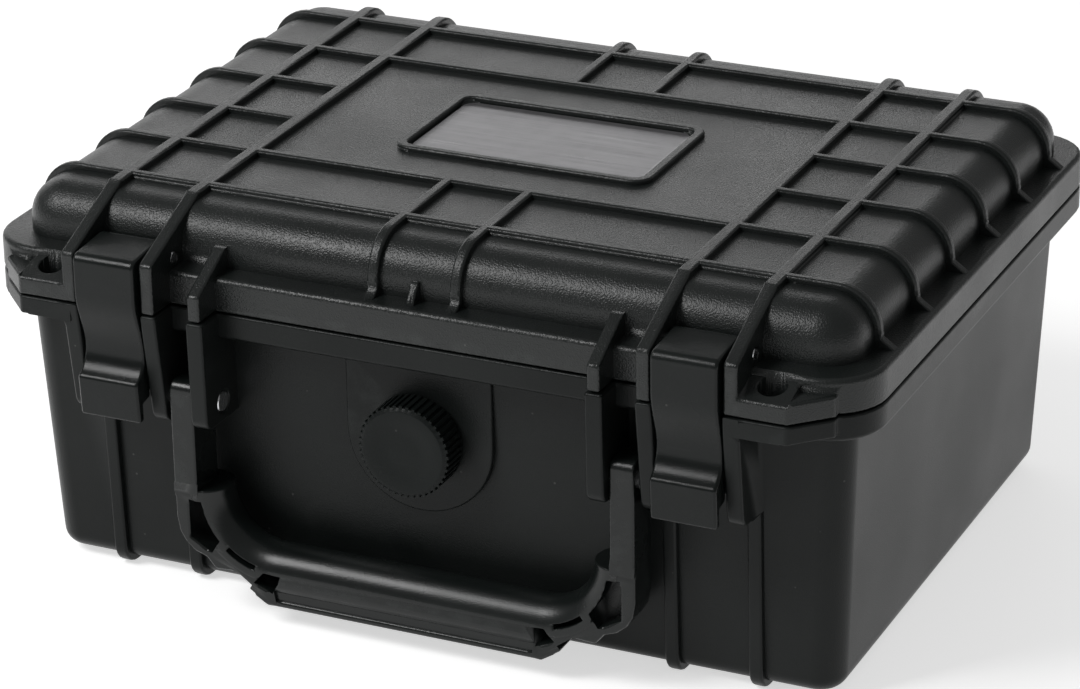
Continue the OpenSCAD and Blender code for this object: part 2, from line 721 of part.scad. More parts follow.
module handle() {
    web_front = arm_front - 0.3;
    plate_front = arm_front - 0.4;
    face_front = arm_front - 1;
    face_x = bend_x + 1;
    hollow_depth = 6;
    color([0.10, 0.10, 0.11]) placed() difference() {
        union() {
            rod(0, -grip_y, grip_z, grip_r, 2 * bend_x);
            for (side = sides) {
                across(side * arm_x, arm_w) arm_outline();
                mirror([side > 0 ? 0 : 1, 0, 0]) translate([bend_x, -grip_y, bend_z]) rotate([90, 0, 0])
                    mirror([0, 1, 0]) rotate_extrude(angle = 90) grip_band();
                in_depth(web_front, handle_back) corner_web(side);
            }
            in_depth(plate_front, handle_back) handle_plate();
            translate([-face_x, -face_front, handle_z + 0.5])
                cube([2 * face_x, face_front - handle_back, grip_z - handle_z]);
        }
        for (side = sides) in_depth(arm_front + 1, arm_front - hollow_depth) corner_hollows(side);
        rod(0, -handle_pin_y, handle_pin_z, handle_pin_d / 2 + pin_clear, 2 * arm_out_x + 2);
    }
}

// section of the bends: the round of the grip, cut off flat on the outer side
module grip_band() {
    translate([bend_r, 0]) intersection() {
        circle(grip_r);
        translate([-grip_r, -grip_r]) square([grip_r + 1, 2 * grip_r]);
    }
}

// toothed outline of the knob
module knob_outline() {
    polygon([for (i = [0:2 * knob_teeth - 1]) let (r = knob_d / 2 - (i % 2) * tooth_depth, a = 180 * i / knob_teeth)
        [r * cos(a), r * sin(a)]]);
}

// a ring round the Z axis
module ring(outer_r, inner_r, h) {
    difference() {
        cylinder(r = outer_r, h = h);
        translate([0, 0, -1]) cylinder(r = inner_r, h = h + 2);
    }
}

// places a piece of the valve on the knob axis, its Z axis pointing out of the front, from the depth y
module on_valve_axis(y) {
    translate([0, -y, knob_z]) rotate([90, 0, 0]) children();
}

module valve_knob() {
    bevel = 0.8;
    cap_d = knob_d - 2 * tooth_depth - 0.2;
    slot_gap = 0.25;
    stem_hole = knob_h - 2;
    collar_hole = collar_h + 1;
    color([0.11, 0.11, 0.12]) placed() on_valve_axis(knob_back) difference() {
        union() {
            linear_extrude(knob_h - bevel) knob_outline();
            translate([0, 0, knob_h - bevel]) cylinder(d1 = cap_d, d2 = cap_d - 2 * bevel, h = bevel);
        }
        translate([0, 0, -1]) cylinder(d = stem_d + 2 * pin_clear, h = stem_hole + 1);
        translate([0, 0, -1]) cylinder(d = bush_d + 1.2, h = collar_hole + 1);
        translate([0, 0, -1]) ring(o_ring_r + o_ring_d / 2 + slot_gap, o_ring_r - o_ring_d / 2 - slot_gap, o_ring_slot + 1);
    }
}

module valve_stem() {
    len = knob_back + knob_h - 2.2 - stem_in;
    color([0.70, 0.71, 0.73]) placed() on_valve_axis(stem_in) difference() {
        cylinder(d = stem_d, h = len);
        translate([0, 0, clip_slot_in]) ring(stem_d, clip_slot_d / 2, clip_slot_w);
    }
}

module valve_clip() {
    clip_d = stem_d + 4;
    mouth = clip_slot_d + 0.1;
    color([0.60, 0.61, 0.63]) placed() on_valve_axis(stem_in + clip_slot_in + (clip_slot_w - clip_t) / 2) difference() {
        cylinder(d = clip_d, h = clip_t);
        translate([0, 0, -1]) cylinder(d = clip_slot_d + 2 * pin_clear, h = clip_t + 2);
        translate([-mouth / 2, 0, -1]) cube([mouth, clip_d, clip_t + 2]);
    }
}

module valve_bush() {
    len = pad_y - boss_y + collar_h + nut_h;
    color([0.72, 0.60, 0.32]) placed() on_valve_axis(boss_y - nut_h) difference() {
        cylinder(d = bush_d, h = len);
        translate([0, 0, -1]) cylinder(d = stem_d + 2 * pin_clear, h = len + 2);
    }
}

module valve_nut() {
    color([0.72, 0.60, 0.32]) placed() on_valve_axis(boss_y - nut_h) difference() {
        cylinder(d = nut_d, h = nut_h - pin_clear, $fn = 6);
        translate([0, 0, -1]) cylinder(d = bush_d + 2 * pin_clear, h = nut_h + 2);
    }
}

module valve_o_ring() {
    section_d = o_ring_d - 2 * o_ring_gap;
    color([0.04, 0.04, 0.04]) placed() on_valve_axis(pad_y + o_ring_d / 2)
        rotate_extrude() translate([o_ring_r, 0]) circle(d = section_d);
}

module base_foam_pad() {
    color([0.16, 0.16, 0.17]) placed() translate([0, 0, floor_high + seat_clear])
        rounded_plate(2 * foam_x - 6, 2 * foam_y - 6, foam_r, foam_pad_h);
}

// slits that divide the foam into cubes, in line with the edges of the pocket
function slit_rows(half, pocket_half) = [pocket_half - floor((half + pocket_half - 3) / cube) * cube : cube : half - 3];

module foam_slits() {
    translate([0, 0, pluck_high - slit_depth]) {
        for (x = slit_rows(foam_x, pocket_w / 2)) translate([x - slit_w / 2, -foam_y - 1, 0])
            cube([slit_w, 2 * foam_y + 2, slit_depth + 1]);
        for (y = slit_rows(foam_y, pocket_d / 2)) translate([-foam_x - 1, y - slit_w / 2, 0])
            cube([2 * foam_x + 2, slit_w, slit_depth + 1]);
    }
}

module base_pluck_foam() {
    color([0.14, 0.14, 0.15]) placed() difference() {
        translate([0, 0, pluck_low]) rounded_plate(2 * foam_x, 2 * foam_y, foam_r, pluck_high - pluck_low);
        translate([-pocket_w / 2, -pocket_d / 2, pocket_low]) cube([pocket_w, pocket_d, base_h]);
        foam_slits();
        on_valve_axis(stem_in - 5) cylinder(d = notch_d, h = 20);
    }
}

base_shell();
lid_shell();
lid_seal();
name_plate();
latch(left);  // latch_left
latch(right);  // latch_right
latch_pin(left);  // latch_pin_left
latch_pin(right);  // latch_pin_right
handle();
handle_pin(left);  // handle_pin_left
handle_pin(right);  // handle_pin_right
hinge_pin(left);  // hinge_pin_left
hinge_pin(right);  // hinge_pin_right
valve_knob();
valve_stem();
valve_clip();
valve_bush();
valve_nut();
valve_o_ring();
base_foam_pad();
base_pluck_foam();
lid_foam();
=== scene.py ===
"""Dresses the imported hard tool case.

Shells, latches, handle, pins, vent, plate, seal and foam get their looks, their finishes and a plain studio.
"""

import json
import math
import random

import bmesh
import bpy
from mathutils import Matrix, Vector
from mathutils.bvhtree import BVHTree
from mathutils.geometry import intersect_line_line_2d

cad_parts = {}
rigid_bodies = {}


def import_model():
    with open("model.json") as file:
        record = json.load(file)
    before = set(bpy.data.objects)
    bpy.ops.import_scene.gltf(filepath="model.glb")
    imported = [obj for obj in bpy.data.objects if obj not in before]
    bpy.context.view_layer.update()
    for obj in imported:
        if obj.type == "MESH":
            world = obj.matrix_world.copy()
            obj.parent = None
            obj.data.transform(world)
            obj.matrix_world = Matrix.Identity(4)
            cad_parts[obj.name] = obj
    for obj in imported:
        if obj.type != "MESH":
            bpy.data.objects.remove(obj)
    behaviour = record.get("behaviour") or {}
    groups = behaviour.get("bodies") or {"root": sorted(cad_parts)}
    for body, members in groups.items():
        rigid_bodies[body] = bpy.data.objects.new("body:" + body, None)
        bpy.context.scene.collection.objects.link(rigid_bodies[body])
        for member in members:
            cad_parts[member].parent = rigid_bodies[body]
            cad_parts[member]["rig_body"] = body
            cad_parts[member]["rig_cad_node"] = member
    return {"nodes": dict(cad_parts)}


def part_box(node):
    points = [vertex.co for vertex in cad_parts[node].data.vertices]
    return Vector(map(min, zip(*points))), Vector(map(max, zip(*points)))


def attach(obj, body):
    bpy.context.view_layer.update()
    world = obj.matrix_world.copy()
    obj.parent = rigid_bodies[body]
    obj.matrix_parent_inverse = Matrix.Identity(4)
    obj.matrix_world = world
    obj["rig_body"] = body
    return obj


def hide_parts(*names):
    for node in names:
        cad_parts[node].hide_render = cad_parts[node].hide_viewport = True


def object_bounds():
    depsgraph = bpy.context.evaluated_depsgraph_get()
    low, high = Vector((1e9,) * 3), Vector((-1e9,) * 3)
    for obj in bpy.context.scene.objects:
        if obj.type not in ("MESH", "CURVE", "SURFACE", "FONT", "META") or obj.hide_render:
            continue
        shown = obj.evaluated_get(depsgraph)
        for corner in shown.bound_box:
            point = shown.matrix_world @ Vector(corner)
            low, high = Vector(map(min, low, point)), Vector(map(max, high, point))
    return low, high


bl_info = {
    "name": "Hard Tool Case",
    "version": (1, 0, 0),
    "blender": (4, 5, 0),
    "location": "3D View > Sidebar > Tool Case",
    "description": "Builds the looks of a small hard tool case around its packed frame",
    "category": "Object",
}

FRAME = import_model()
FRAME_BOX = [list(corner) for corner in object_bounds()]

ALONG_Z = (0.0, 0.0, 1.0)
SIDES = {"left": -1, "right": 1}
MERGE = 1e-6
SLIVER = 4e-9  # square metres: the cross product of a triangle too thin to judge
NEARLY_STRAIGHT = -0.94
FACING_AWAY = -0.2
ROOM_SHARE = 0.45  # of a neighbouring edge that a rounding may take up
LEAST_SLANT = 0.05
# in radii of the rounding
LEAST_ROOM = 0.15
FARTHEST_OFF = 0.75
LONG_EDGE, END_PIECE = 8, 2.5

KNOB_LOW, KNOB_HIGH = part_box("valve_knob")
STEM_LOW, STEM_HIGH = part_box("valve_stem")
BUSH_LOW, BUSH_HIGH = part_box("valve_bush")
NUT_LOW, NUT_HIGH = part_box("valve_nut")
PLATE_LOW, PLATE_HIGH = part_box("name_plate")
PLUCK_LOW, PLUCK_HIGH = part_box("base_pluck_foam")
LID_FOAM_LOW, LID_FOAM_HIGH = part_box("lid_foam")
BUSH_RADIUS = (BUSH_HIGH.x - BUSH_LOW.x) / 2
STEM_RADIUS = (STEM_HIGH.x - STEM_LOW.x) / 2
RUNNING_FIT = 0.00005
VALVE_X = (KNOB_LOW.x + KNOB_HIGH.x) / 2
VALVE_Z = (KNOB_LOW.z + KNOB_HIGH.z) / 2


# -------- settings


def number(name, default, description, **kind):
    """A number that a user may change."""
    return bpy.props.FloatProperty(name=name, description=description, default=default, **kind)


def length(name, default, description):
    """A length in metres that a user may change."""
    return number(name, default, description, min=0.0, precision=5, subtype="DISTANCE", unit="LENGTH")


def colour(name, default, description):
    """A linear colour that a user may change."""
    return bpy.props.FloatVectorProperty(
        name=name, description=description, default=default, size=3, min=0.0, max=1.0, subtype="COLOR"
    )


def share(name, default, description):
    """A number from 0 to 1 that a user may change."""
    return number(name, default, description, min=0.0, max=1.0, subtype="FACTOR")


def angle(name, degrees, description):
    """An angle that a user may change."""
    return number(name, math.radians(degrees), description, subtype="ANGLE", unit="ROTATION")


class ToolCaseSizes(bpy.types.PropertyGroup):
    """Sizes of the small forms that the frame leaves plain."""

    shell_edge: length("Shell Edge", 0.0006, "Rounding of the moulded edges of both shells")
    latch_edge: length("Latch Edge", 0.0007, "Rounding of the edges of the latches")
    handle_edge: length("Handle Edge", 0.0006, "Rounding of the edges of the carrying handle")
    pin_chamfer: length("Pin Chamfer", 0.00035, "Chamfer at the ends of the steel pins")
    knurl_depth: length("Knurl Depth", 0.00018, "Depth of the knurled grooves at the pin ends")
    knob_teeth: bpy.props.IntProperty(
        name="Knob Teeth", description="Number of teeth round the vent knob", default=44, min=12, max=80
    )
    knob_tooth: length("Knob Tooth", 0.00042, "Height of the teeth round the vent knob")
    knob_dish: length("Knob Dish", 0.0005, "Depth of the dished face of the vent knob")
    foam_cube: length("Foam Cube", 0.012, "Size of one cube of the pluck foam")
    foam_edge: length("Foam Edge", 0.0006, "Rounding of the cut edges of the foam cubes")
    foam_uneven: length("Foam Unevenness", 0.0005, "Most that one foam cube sits lower than the next")
    foam_slit_depth: length("Foam Slit Depth", 0.003, "Depth of the slits between the foam cubes")
    crate_pitch: length("Crate Pitch", 0.016, "Distance from peak to peak of the lid foam")
    crate_height: length("Crate Height", 0.0065, "Height of the peaks of the lid foam")


class ToolCaseFinish(bpy.types.PropertyGroup):
    """Colours and surfaces of the finishes."""

    shell_colour: colour("Shell Colour", (0.0082, 0.0104, 0.0098), "Colour of the moulded shells")
    latch_colour: colour("Latch Colour", (0.0068, 0.0088, 0.0083), "Colour of the latches")
    handle_colour: colour("Handle Colour", (0.0066, 0.0086, 0.0081), "Colour of the carrying handle")
    knob_colour: colour("Knob Colour", (0.0068, 0.0088, 0.0083), "Colour of the vent knob")
    seal_colour: colour("Seal Colour", (0.018, 0.018, 0.018), "Colour of the rubber seal")
    plate_colour: colour("Plate Colour", (0.2, 0.197, 0.205), "Colour of the bare name plate")
    steel_colour: colour("Steel Colour", (0.76, 0.77, 0.78), "Colour of the steel pins")
    brass_colour: colour("Brass Colour", (0.55, 0.4, 0.16), "Colour of the vent bush and its nut")
    foam_colour: colour("Foam Colour", (0.03, 0.031, 0.033), "Colour of the foam inlays")
    shell_gloss: share("Shell Roughness", 0.34, "Roughness of the shells")
    grain_size: length("Grain Size", 0.00037, "Size of the pebbles in the moulded grain")
    grain_depth: length("Grain Depth", 0.00007, "Depth of the moulded grain on the lid")
    dust: share("Dust", 0.35, "How much fine dust lies on the case")


class ToolCaseStudio(bpy.types.PropertyGroup):
    """Camera, lamps and floor."""

    lens: number("Lens", 138.52, "Focal length of the camera in millimetres")
    distance: length("Distance", 0.94454, "Distance from the camera to the plane through the lid")
    azimuth: angle("Azimuth", 25.02, "Turn of the camera round the case")
    elevation: angle("Elevation", 23.39, "Height angle of the camera")
    roll: angle("Roll", -0.97, "Turn of the camera round its line of sight")
    floor_colour: colour("Floor Colour", (0.86, 0.86, 0.86), "Colour of the floor")
    sky_strength: number("Sky Strength", 0.25, "Strength of the even light from all round")
    key_power: number("Key Power", 6.4, "Power of the lamp overhead in watts", unit="POWER")
    rear_power: number("Rear Power", 4.3, "Power of the broad lamp behind the case in watts", unit="POWER")


# -------- hand tools


def chosen(context):
    """The sizes and the finishes that the user has chosen."""
    return context.scene.toolcase_sizes, context.scene.toolcase_finish


def deselect():
    """Goes back to object mode with nothing selected."""
    if bpy.context.object and bpy.context.object.mode != "OBJECT":
        bpy.ops.object.mode_set(mode="OBJECT")
    bpy.ops.object.select_all(action="DESELECT")


def pick_only(piece):
    """Selects this piece alone and makes it the active one."""
    deselect()
    piece.select_set(True)
    bpy.context.view_layer.objects.active = piece


def new_piece(name, primitive, **settings):
    """Adds a primitive with everything else deselected, and names it."""
    deselect()
    primitive(**settings)
    piece = bpy.context.object
    piece.name = name
    piece.data.name = name
    return piece


def edit(piece):
    """Opens a piece in edit mode with all of it selected."""
    pick_only(piece)
    bpy.ops.object.mode_set(mode="EDIT")
    bpy.ops.mesh.select_mode(type="FACE")
    bpy.ops.mesh.select_all(action="SELECT")


def leave_edit():
    """Goes back to object mode."""
    bpy.ops.object.mode_set(mode="OBJECT")


def pick(piece, kind, wanted):
    """Selects the faces or the edges for which wanted(item) is true."""
    bpy.ops.mesh.select_mode(type=kind)
    bpy.ops.mesh.select_all(action="DESELECT")
    mesh = bmesh.from_edit_mesh(piece.data)
    found = [item for item in (mesh.faces if kind == "FACE" else mesh.edges) if wanted(item)]
    if not found:
        raise RuntimeError(f"{piece.name}: no {kind.lower()} to work on")
    for item in found:
        item.select_set(True)
    bmesh.update_edit_mesh(piece.data)


def cut(place_at, normal, **settings):
    """Cuts all that is selected in edit mode along a plane."""
    bpy.ops.mesh.bisect(plane_co=place_at, plane_no=normal, **settings)


def settle(piece):
    """Puts a piece's place into its mesh, so that its object sits at the origin."""
    pick_only(piece)
    bpy.ops.object.transform_apply(location=True, rotation=True, scale=True)


def outward(piece):
    """Merges doubles and turns all faces outwards."""
    edit(piece)
    bpy.ops.mesh.remove_doubles(threshold=MERGE)
    bpy.ops.mesh.normals_make_consistent(inside=False)
    leave_edit()


def modify(piece, kind, **settings):
    """Adds a modifier to a piece and applies it."""
    pick_only(piece)
    modifier = piece.modifiers.new(kind.lower(), kind)
    for key, value in settings.items():
        setattr(modifier, key, value)
    bpy.ops.object.modifier_apply(modifier=modifier.name)


def rounding_of(edge, radius, angle):
    """The whole radius for an edge where two faces meet at a sharp outer angle, and none for any other."""
    bend = edge.calc_face_angle_signed(0.0) if edge.is_manifold else 0.0
    return radius if bend > angle and edge.calc_length() > MERGE else 0.0


def room_at(edge, corner, width):
    """How wide an edge can be rounded at one of its ends before it runs past its neighbours."""
    away = (edge.other_vert(corner).co - corner.co).normalized()
    for face in edge.link_faces:
        for other in face.edges:
            if other is edge or corner not in other.verts:
                continue
            side = other.other_vert(corner).co - corner.co
            if side.length < MERGE or away.dot(side.normalized()) < NEARLY_STRAIGHT:
                continue
            slant = max(away.cross(side.normalized()).length, LEAST_SLANT)
            width = min(width, ROOM_SHARE * side.length * slant)
    return width


def part_ends(mesh, radius, angle):
    """Cuts a short end off each long sharp edge, so that a tight corner spares the end alone."""
    for edge in list(mesh.edges):
        if rounding_of(edge, radius, angle) and edge.calc_length() > radius * LONG_EDGE:
            for corner in list(edge.verts):
                other, _ = bmesh.utils.edge_split(edge, corner, radius * END_PIECE / edge.calc_length())
                edge = other if corner in edge.verts else edge
    mesh.normal_update()
    mesh.edges.index_update()


def crossings(face, points):
    """Places where the border of a flat face crosses itself."""
    across = face.normal.orthogonal().normalized()
    up = face.normal.cross(across)
    corners = [points[index].co for index in face.vertices]
    sides = [(corner, corners[(number + 1) % len(corners)]) for number, corner in enumerate(corners)]
    flat = [[Vector((end.dot(across), end.dot(up))) * 1000 for end in side] for side in sides]
    places = []
    for first in range(len(sides)):
        for second in range(first + 2, len(sides) if first else len(sides) - 1):
            if intersect_line_line_2d(*flat[first], *flat[second]):
                start, end = min(sides[first], sides[second], key=lambda side: (side[1] - side[0]).length)
                places.append((start + end) / 2)
    return places


def spoilt_places(piece, surface, radius):
    """Places where a rounded mesh leaves the surface that it came from, faces the wrong way or folds over."""
    mesh = piece.data
    mesh.calc_loop_triangles()
    far = radius * FARTHEST_OFF
    places = [point.co.copy() for point in mesh.vertices if surface.find_nearest(point.co)[3] > far]
    folded = {}
    for triangle in mesh.loop_triangles:
        first, second, third = (mesh.vertices[index].co for index in triangle.vertices)
        normal = (second - first).cross(third - first)
        middle = (first + second + third) / 3
        if normal.length < SLIVER:
            continue
        if normal.dot(mesh.polygons[triangle.polygon_index].normal) < 0.0:
            folded.setdefault(triangle.polygon_index, []).append(middle)
        elif surface.find_nearest(middle)[1].dot(normal.normalized()) < FACING_AWAY:
            places.append(middle)
    for index, middles in folded.items():
        places += crossings(mesh.polygons[index], mesh.vertices) or middles
    return places


def distance_to_line(point, start, end):
    """Distance of a point from a stretch of line."""
    line = end - start
    along = max(0.0, min(1.0, (point - start).dot(line) / max(line.length_squared, 1e-14)))
    return (start + along * line - point).length


def round_edges(piece, radius, segments=3, angle=25.0, tries=6, spared=None):
    """Rounds the sharp outer edges of a piece as far as each has room, and shades it smooth.

    An edge that would fold over stays sharp, and so does one for whose middle spared(point) is true.
    """
    angle = math.radians(angle)
    mesh = bmesh.new()
    mesh.from_mesh(piece.data)
    mesh.normal_update()
    surface = BVHTree.FromBMesh(mesh)
    part_ends(mesh, radius, angle)
    weights, lines = {}, {}
    for edge in mesh.edges:
        width = rounding_of(edge, radius, angle)
        if width and not (spared and spared((edge.verts[0].co + edge.verts[1].co) / 2)):
            room = min(room_at(edge, corner, width) for corner in edge.verts)
            weights[edge.index] = room / radius if room > radius * LEAST_ROOM else 0.0
            lines[edge.index] = tuple(corner.co.copy() for corner in edge.verts)
    mesh.to_mesh(piece.data)
    mesh.free()
    sharp = piece.data.copy()
    for turn in range(tries):
        piece.data = sharp.copy()
        layer = piece.data.attributes.new("bevel_weight_edge", "FLOAT", "EDGE")
        for index, weight in weights.items():
            layer.data[index].value = weight
        free = {"use_clamp_overlap": False, "loop_slide": False, "miter_outer": "MITER_SHARP"}
        modify(piece, "BEVEL", width=radius, segments=segments, limit_method="WEIGHT", **free)
        spoilt = spoilt_places(piece, surface, radius)
        if not spoilt:
            break
        reach = radius * (1.6 + 0.6 * turn)
        for index, (start, end) in lines.items():
            if weights[index] and any(distance_to_line(place, start, end) < reach for place in spoilt):
                weights[index] = 0.0
    else:
        raise RuntimeError(f"{piece.name}: the rounding still folds over")
    piece.data.name = piece.name
    bpy.data.meshes.remove(sharp)
    bpy.ops.object.shade_smooth_by_angle(angle=math.radians(40))
    modify(piece, "WEIGHTED_NORMAL", keep_sharp=True, weight=70)


def copy_of_node(node, name, levels=()):
    """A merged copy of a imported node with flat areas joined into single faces, and cut at some levels."""
    source = FRAME["nodes"][node]
    piece = source.copy()
    piece.data = source.data.copy()
    piece.name = name
    piece.data.name = name
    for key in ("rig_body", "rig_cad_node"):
        if key in piece:
            del piece[key]
    bpy.context.scene.collection.objects.link(piece)
    piece.parent = None
    piece.data.materials.clear()
    edit(piece)
    bpy.ops.mesh.remove_doubles(threshold=MERGE)
    bpy.ops.mesh.dissolve_limited(angle_limit=math.radians(0.2))
    for level in levels:
        bpy.ops.mesh.select_all(action="SELECT")
        cut((0.0, 0.0, level), ALONG_Z)
    leave_edit()
    return piece


def cylinder(name, sides, radius, depth, centre, along):
    """A cylinder along X or Y, settled in its place."""
    quarter = math.radians(90)
    turned = (0.0, quarter, 0.0) if along == "X" else (quarter, 0.0, 0.0)
    form = {"vertices": sides, "radius": radius, "depth": depth}
    piece = new_piece(name, bpy.ops.mesh.primitive_cylinder_add, location=centre, rotation=turned, **form)
    settle(piece)
    return piece


def finish_piece(piece, body, material, node):
    """Gives a piece its finish and its body, and hides the node that it stands for."""
    piece.data.materials.clear()
    piece.data.materials.append(material)
    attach(piece, body)
    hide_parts(node)


# -------- finishes


def add_node(tree, kind, values=None, **settings):
    """Adds a shader node, sets its properties, and sets or links its inputs."""
    node = tree.nodes.new(kind)
    for key, value in settings.items():
        setattr(node, key, value)
    for key, value in (values or {}).items():
        socket = node.inputs[key]
        if isinstance(value, bpy.types.NodeSocket):
            tree.links.new(value, socket)
        else:
            socket.default_value = value
    return node


def calculate(tree, operation, first, second=0.0, clamp=False):
    """The output of a Math node."""
    node = add_node(tree, "ShaderNodeMath", {0: first, 1: second}, operation=operation, use_clamp=clamp)
    return node.outputs[0]


def times(tree, first, second, clamp=False):
    """The product of two values."""
    return calculate(tree, "MULTIPLY", first, second, clamp)


def noise(tree, vector, scale, detail, roughness):
    """The output of a Noise Texture node."""
    values = {"Vector": vector, "Scale": scale, "Detail": detail, "Roughness": roughness}
    return add_node(tree, "ShaderNodeTexNoise", values).outputs[0]


def cells(tree, vector, scale):
    """A Voronoi Texture node with plain cells."""
    return add_node(tree, "ShaderNodeTexVoronoi", {"Vector": vector, "Scale": scale}, feature="F1")


def spread(tree, value, low, high, to_low=0.0, to_high=1.0, smooth=True):
    """The output of a Map Range node."""
    values = {"Value": value, "From Min": low, "From Max": high, "To Min": to_low, "To Max": to_high}
    kind = "SMOOTHSTEP" if smooth else "LINEAR"
    return add_node(tree, "ShaderNodeMapRange", values, interpolation_type=kind).outputs["Result"]


def mix_colours(tree, factor, first, second):
    """The colour output of a Mix node."""
    node = add_node(tree, "ShaderNodeMix", data_type="RGBA")
    sockets = {s.identifier: s for s in node.inputs}
    tree.links.new(factor, sockets["Factor_Float"])
    for key, value in (("A_Color", first), ("B_Color", second)):
        if isinstance(value, bpy.types.NodeSocket):
            tree.links.new(value, sockets[key])
        else:
            sockets[key].default_value = (*value, 1.0)
    return next(s for s in node.outputs if s.identifier == "Result_Color")


def effect(name, inputs, outputs):
    """Makes of a wiring function one that gives a shader node group, built when it is first asked for.

    Each group also takes a Vector. The wiring function is given the tree, the Vector and all inputs, and
    returns the sockets for the outputs.
    """

    def wrap(wire):
        def group():
            if name in bpy.data.node_groups:
                return bpy.data.node_groups[name]
            tree = bpy.data.node_groups.new(name, "ShaderNodeTree")
            tree.interface.new_socket(name="Vector", in_out="INPUT", socket_type="NodeSocketVector")
            for label, default in inputs.items():
                kind = "NodeSocketVector" if isinstance(default, tuple) else "NodeSocketFloat"
                socket = tree.interface.new_socket(name=label, in_out="INPUT", socket_type=kind)
                socket.default_value = default
            for label in outputs:
                tree.interface.new_socket(name=label, in_out="OUTPUT", socket_type="NodeSocketFloat")
            entry = tree.nodes.new("NodeGroupInput")
            result = tree.nodes.new("NodeGroupOutput")
            for label, socket in wire(tree, entry.outputs["Vector"], entry.outputs).items():
                tree.links.new(socket, result.inputs[label])
            return tree

        return group

    return wrap


@effect("Moulded Grain", {"Pebble Size": 0.0005}, ["Height"])
def grain_effect(tree, spot, entry):
    """Pebbled grain of a textured mould, as a height from 0 to 1."""
    scale = calculate(tree, "DIVIDE", 1.0, entry["Pebble Size"])
    values = {"Vector": spot, "Scale": scale, "Smoothness": 0.7}
    pebbles = add_node(tree, "ShaderNodeTexVoronoi", values, feature="SMOOTH_F1")
    rough = noise(tree, spot, times(tree, scale, 0.8), 3.0, 0.6)
    pebble = spread(tree, pebbles.outputs["Distance"], 0.1, 0.65, 1.0, 0.0)
    weighted = times(tree, pebble, 0.5)
    return {"Height": calculate(tree, "ADD", weighted, times(tree, rough, 0.7))}


@effect("Mottling", {"Patch Size": 0.03}, ["Value"])
def mottle_effect(tree, spot, entry):
    """Slow change over a surface, from 0 to 1."""
    scale = calculate(tree, "DIVIDE", 1.0, entry["Patch Size"])
    return {"Value": spread(tree, noise(tree, spot, scale, 4.0, 0.55), 0.3, 0.7)}


@effect("Edge Wear", {"Amount": 0.5}, ["Mask"])
def edge_wear_and_highlight_effect(tree, spot, entry):
    """Abraded convex edges and a painted highlight along them, as a mask."""
    geometry = add_node(tree, "ShaderNodeNewGeometry")
    edge = spread(tree, geometry.outputs["Pointiness"], 0.52, 0.6)
    broken = spread(tree, noise(tree, spot, 160.0, 5.0, 0.7), 0.42, 0.66)
    mask = times(tree, edge, broken)
    return {"Mask": times(tree, mask, entry["Amount"], clamp=True)}


@effect("Dust", {"Spacing": 0.006, "Amount": 0.4}, ["Mask"])
def dust_effect(tree, spot, entry):
    """Scattered specks and a thin veil of dust, as a mask."""
    dots = cells(tree, spot, calculate(tree, "DIVIDE", 1.0, entry["Spacing"]))
    speck = spread(tree, dots.outputs["Distance"], 0.035, 0.06, 1.0, 0.0)
    lots = add_node(tree, "ShaderNodeSeparateColor", {"Color": dots.outputs["Color"]})
    rare = spread(tree, lots.outputs[0], 0.6, 0.62)
    specks = times(tree, speck, rare)
    veil = spread(tree, noise(tree, spot, 900.0, 4.0, 0.8), 0.55, 0.85, 0.0, 0.12)
    both = calculate(tree, "MAXIMUM", specks, veil)
    return {"Mask": times(tree, both, entry["Amount"], clamp=True)}


@effect("Fine Scuffs", {"Amount": 0.5}, ["Mask"])
def scuff_effect(tree, spot, entry):
    """Fine hairline scuffs in two directions, as a mask."""
    masks = []
    for turn, stretch in ((0.5, (40.0, 900.0, 900.0)), (-1.1, (1100.0, 50.0, 700.0))):
        values = {"Vector": spot, "Rotation": (0.3, 0.2, turn), "Scale": stretch}
        lines = noise(tree, add_node(tree, "ShaderNodeMapping", values).outputs[0], 1.0, 1.0, 0.4)
        masks.append(spread(tree, lines, 0.7, 0.78))
    both = calculate(tree, "MAXIMUM", *masks)
    return {"Mask": times(tree, both, entry["Amount"], clamp=True)}


@effect("Foam Pores", {"Cell Size": 0.0008}, ["Height", "Shade"])
def pore_effect(tree, spot, entry):
    """Open cells of cut foam, as a height and a painted shade from 0 to 1 that is low in the pore hollows."""
    scale = calculate(tree, "DIVIDE", 1.0, entry["Cell Size"])
    cell = spread(tree, cells(tree, spot, scale).outputs["Distance"], 0.15, 0.6)
    fine = noise(tree, spot, times(tree, scale, 2.2), 3.0, 0.7)
    height = calculate(tree, "ADD", cell, times(tree, fine, 0.6))
    return {"Height": height, "Shade": spread(tree, height, 0.2, 1.3)}


@effect("Brushed Lines", {"Stretch": (1.0, 1.0, 1.0)}, ["Value"])
def brushed_effect(tree, spot, entry):
    """Fine lines drawn along one direction, from 0 to 1."""
    values = {"Vector": spot, "Scale": entry["Stretch"]}
    lines = noise(tree, add_node(tree, "ShaderNodeMapping", values).outputs[0], 1.0, 4.0, 0.6)
    return {"Value": spread(tree, lines, 0.25, 0.75)}


def lighter(rgb, factor, lift=0.0):
    """A colour made lighter or darker."""
    return tuple(min(1.0, c * factor + lift) for c in rgb)


def place(tree, group, spot, values):
    """Puts a shader node group into a material and gives its outputs."""
    return add_node(tree, "ShaderNodeGroup", {"Vector": spot, **values}, node_tree=group()).outputs


def material_kind(wire):
    """Makes of a wiring function one that gives a named node material, built when it is first asked for."""

    def material(name, *values, **more):
        if name in bpy.data.materials:
            return bpy.data.materials[name]
        made = bpy.data.materials.new(name)
        made.use_nodes = True
        tree = made.node_tree
        tree.nodes.clear()
        shader = tree.nodes.new("ShaderNodeBsdfPrincipled")
        result = tree.nodes.new("ShaderNodeOutputMaterial")
        tree.links.new(shader.outputs[0], result.inputs["Surface"])
        spot = tree.nodes.new("ShaderNodeTexCoord").outputs["Object"]
        wire(tree, shader, spot, *values, **more)
        return made

    return material


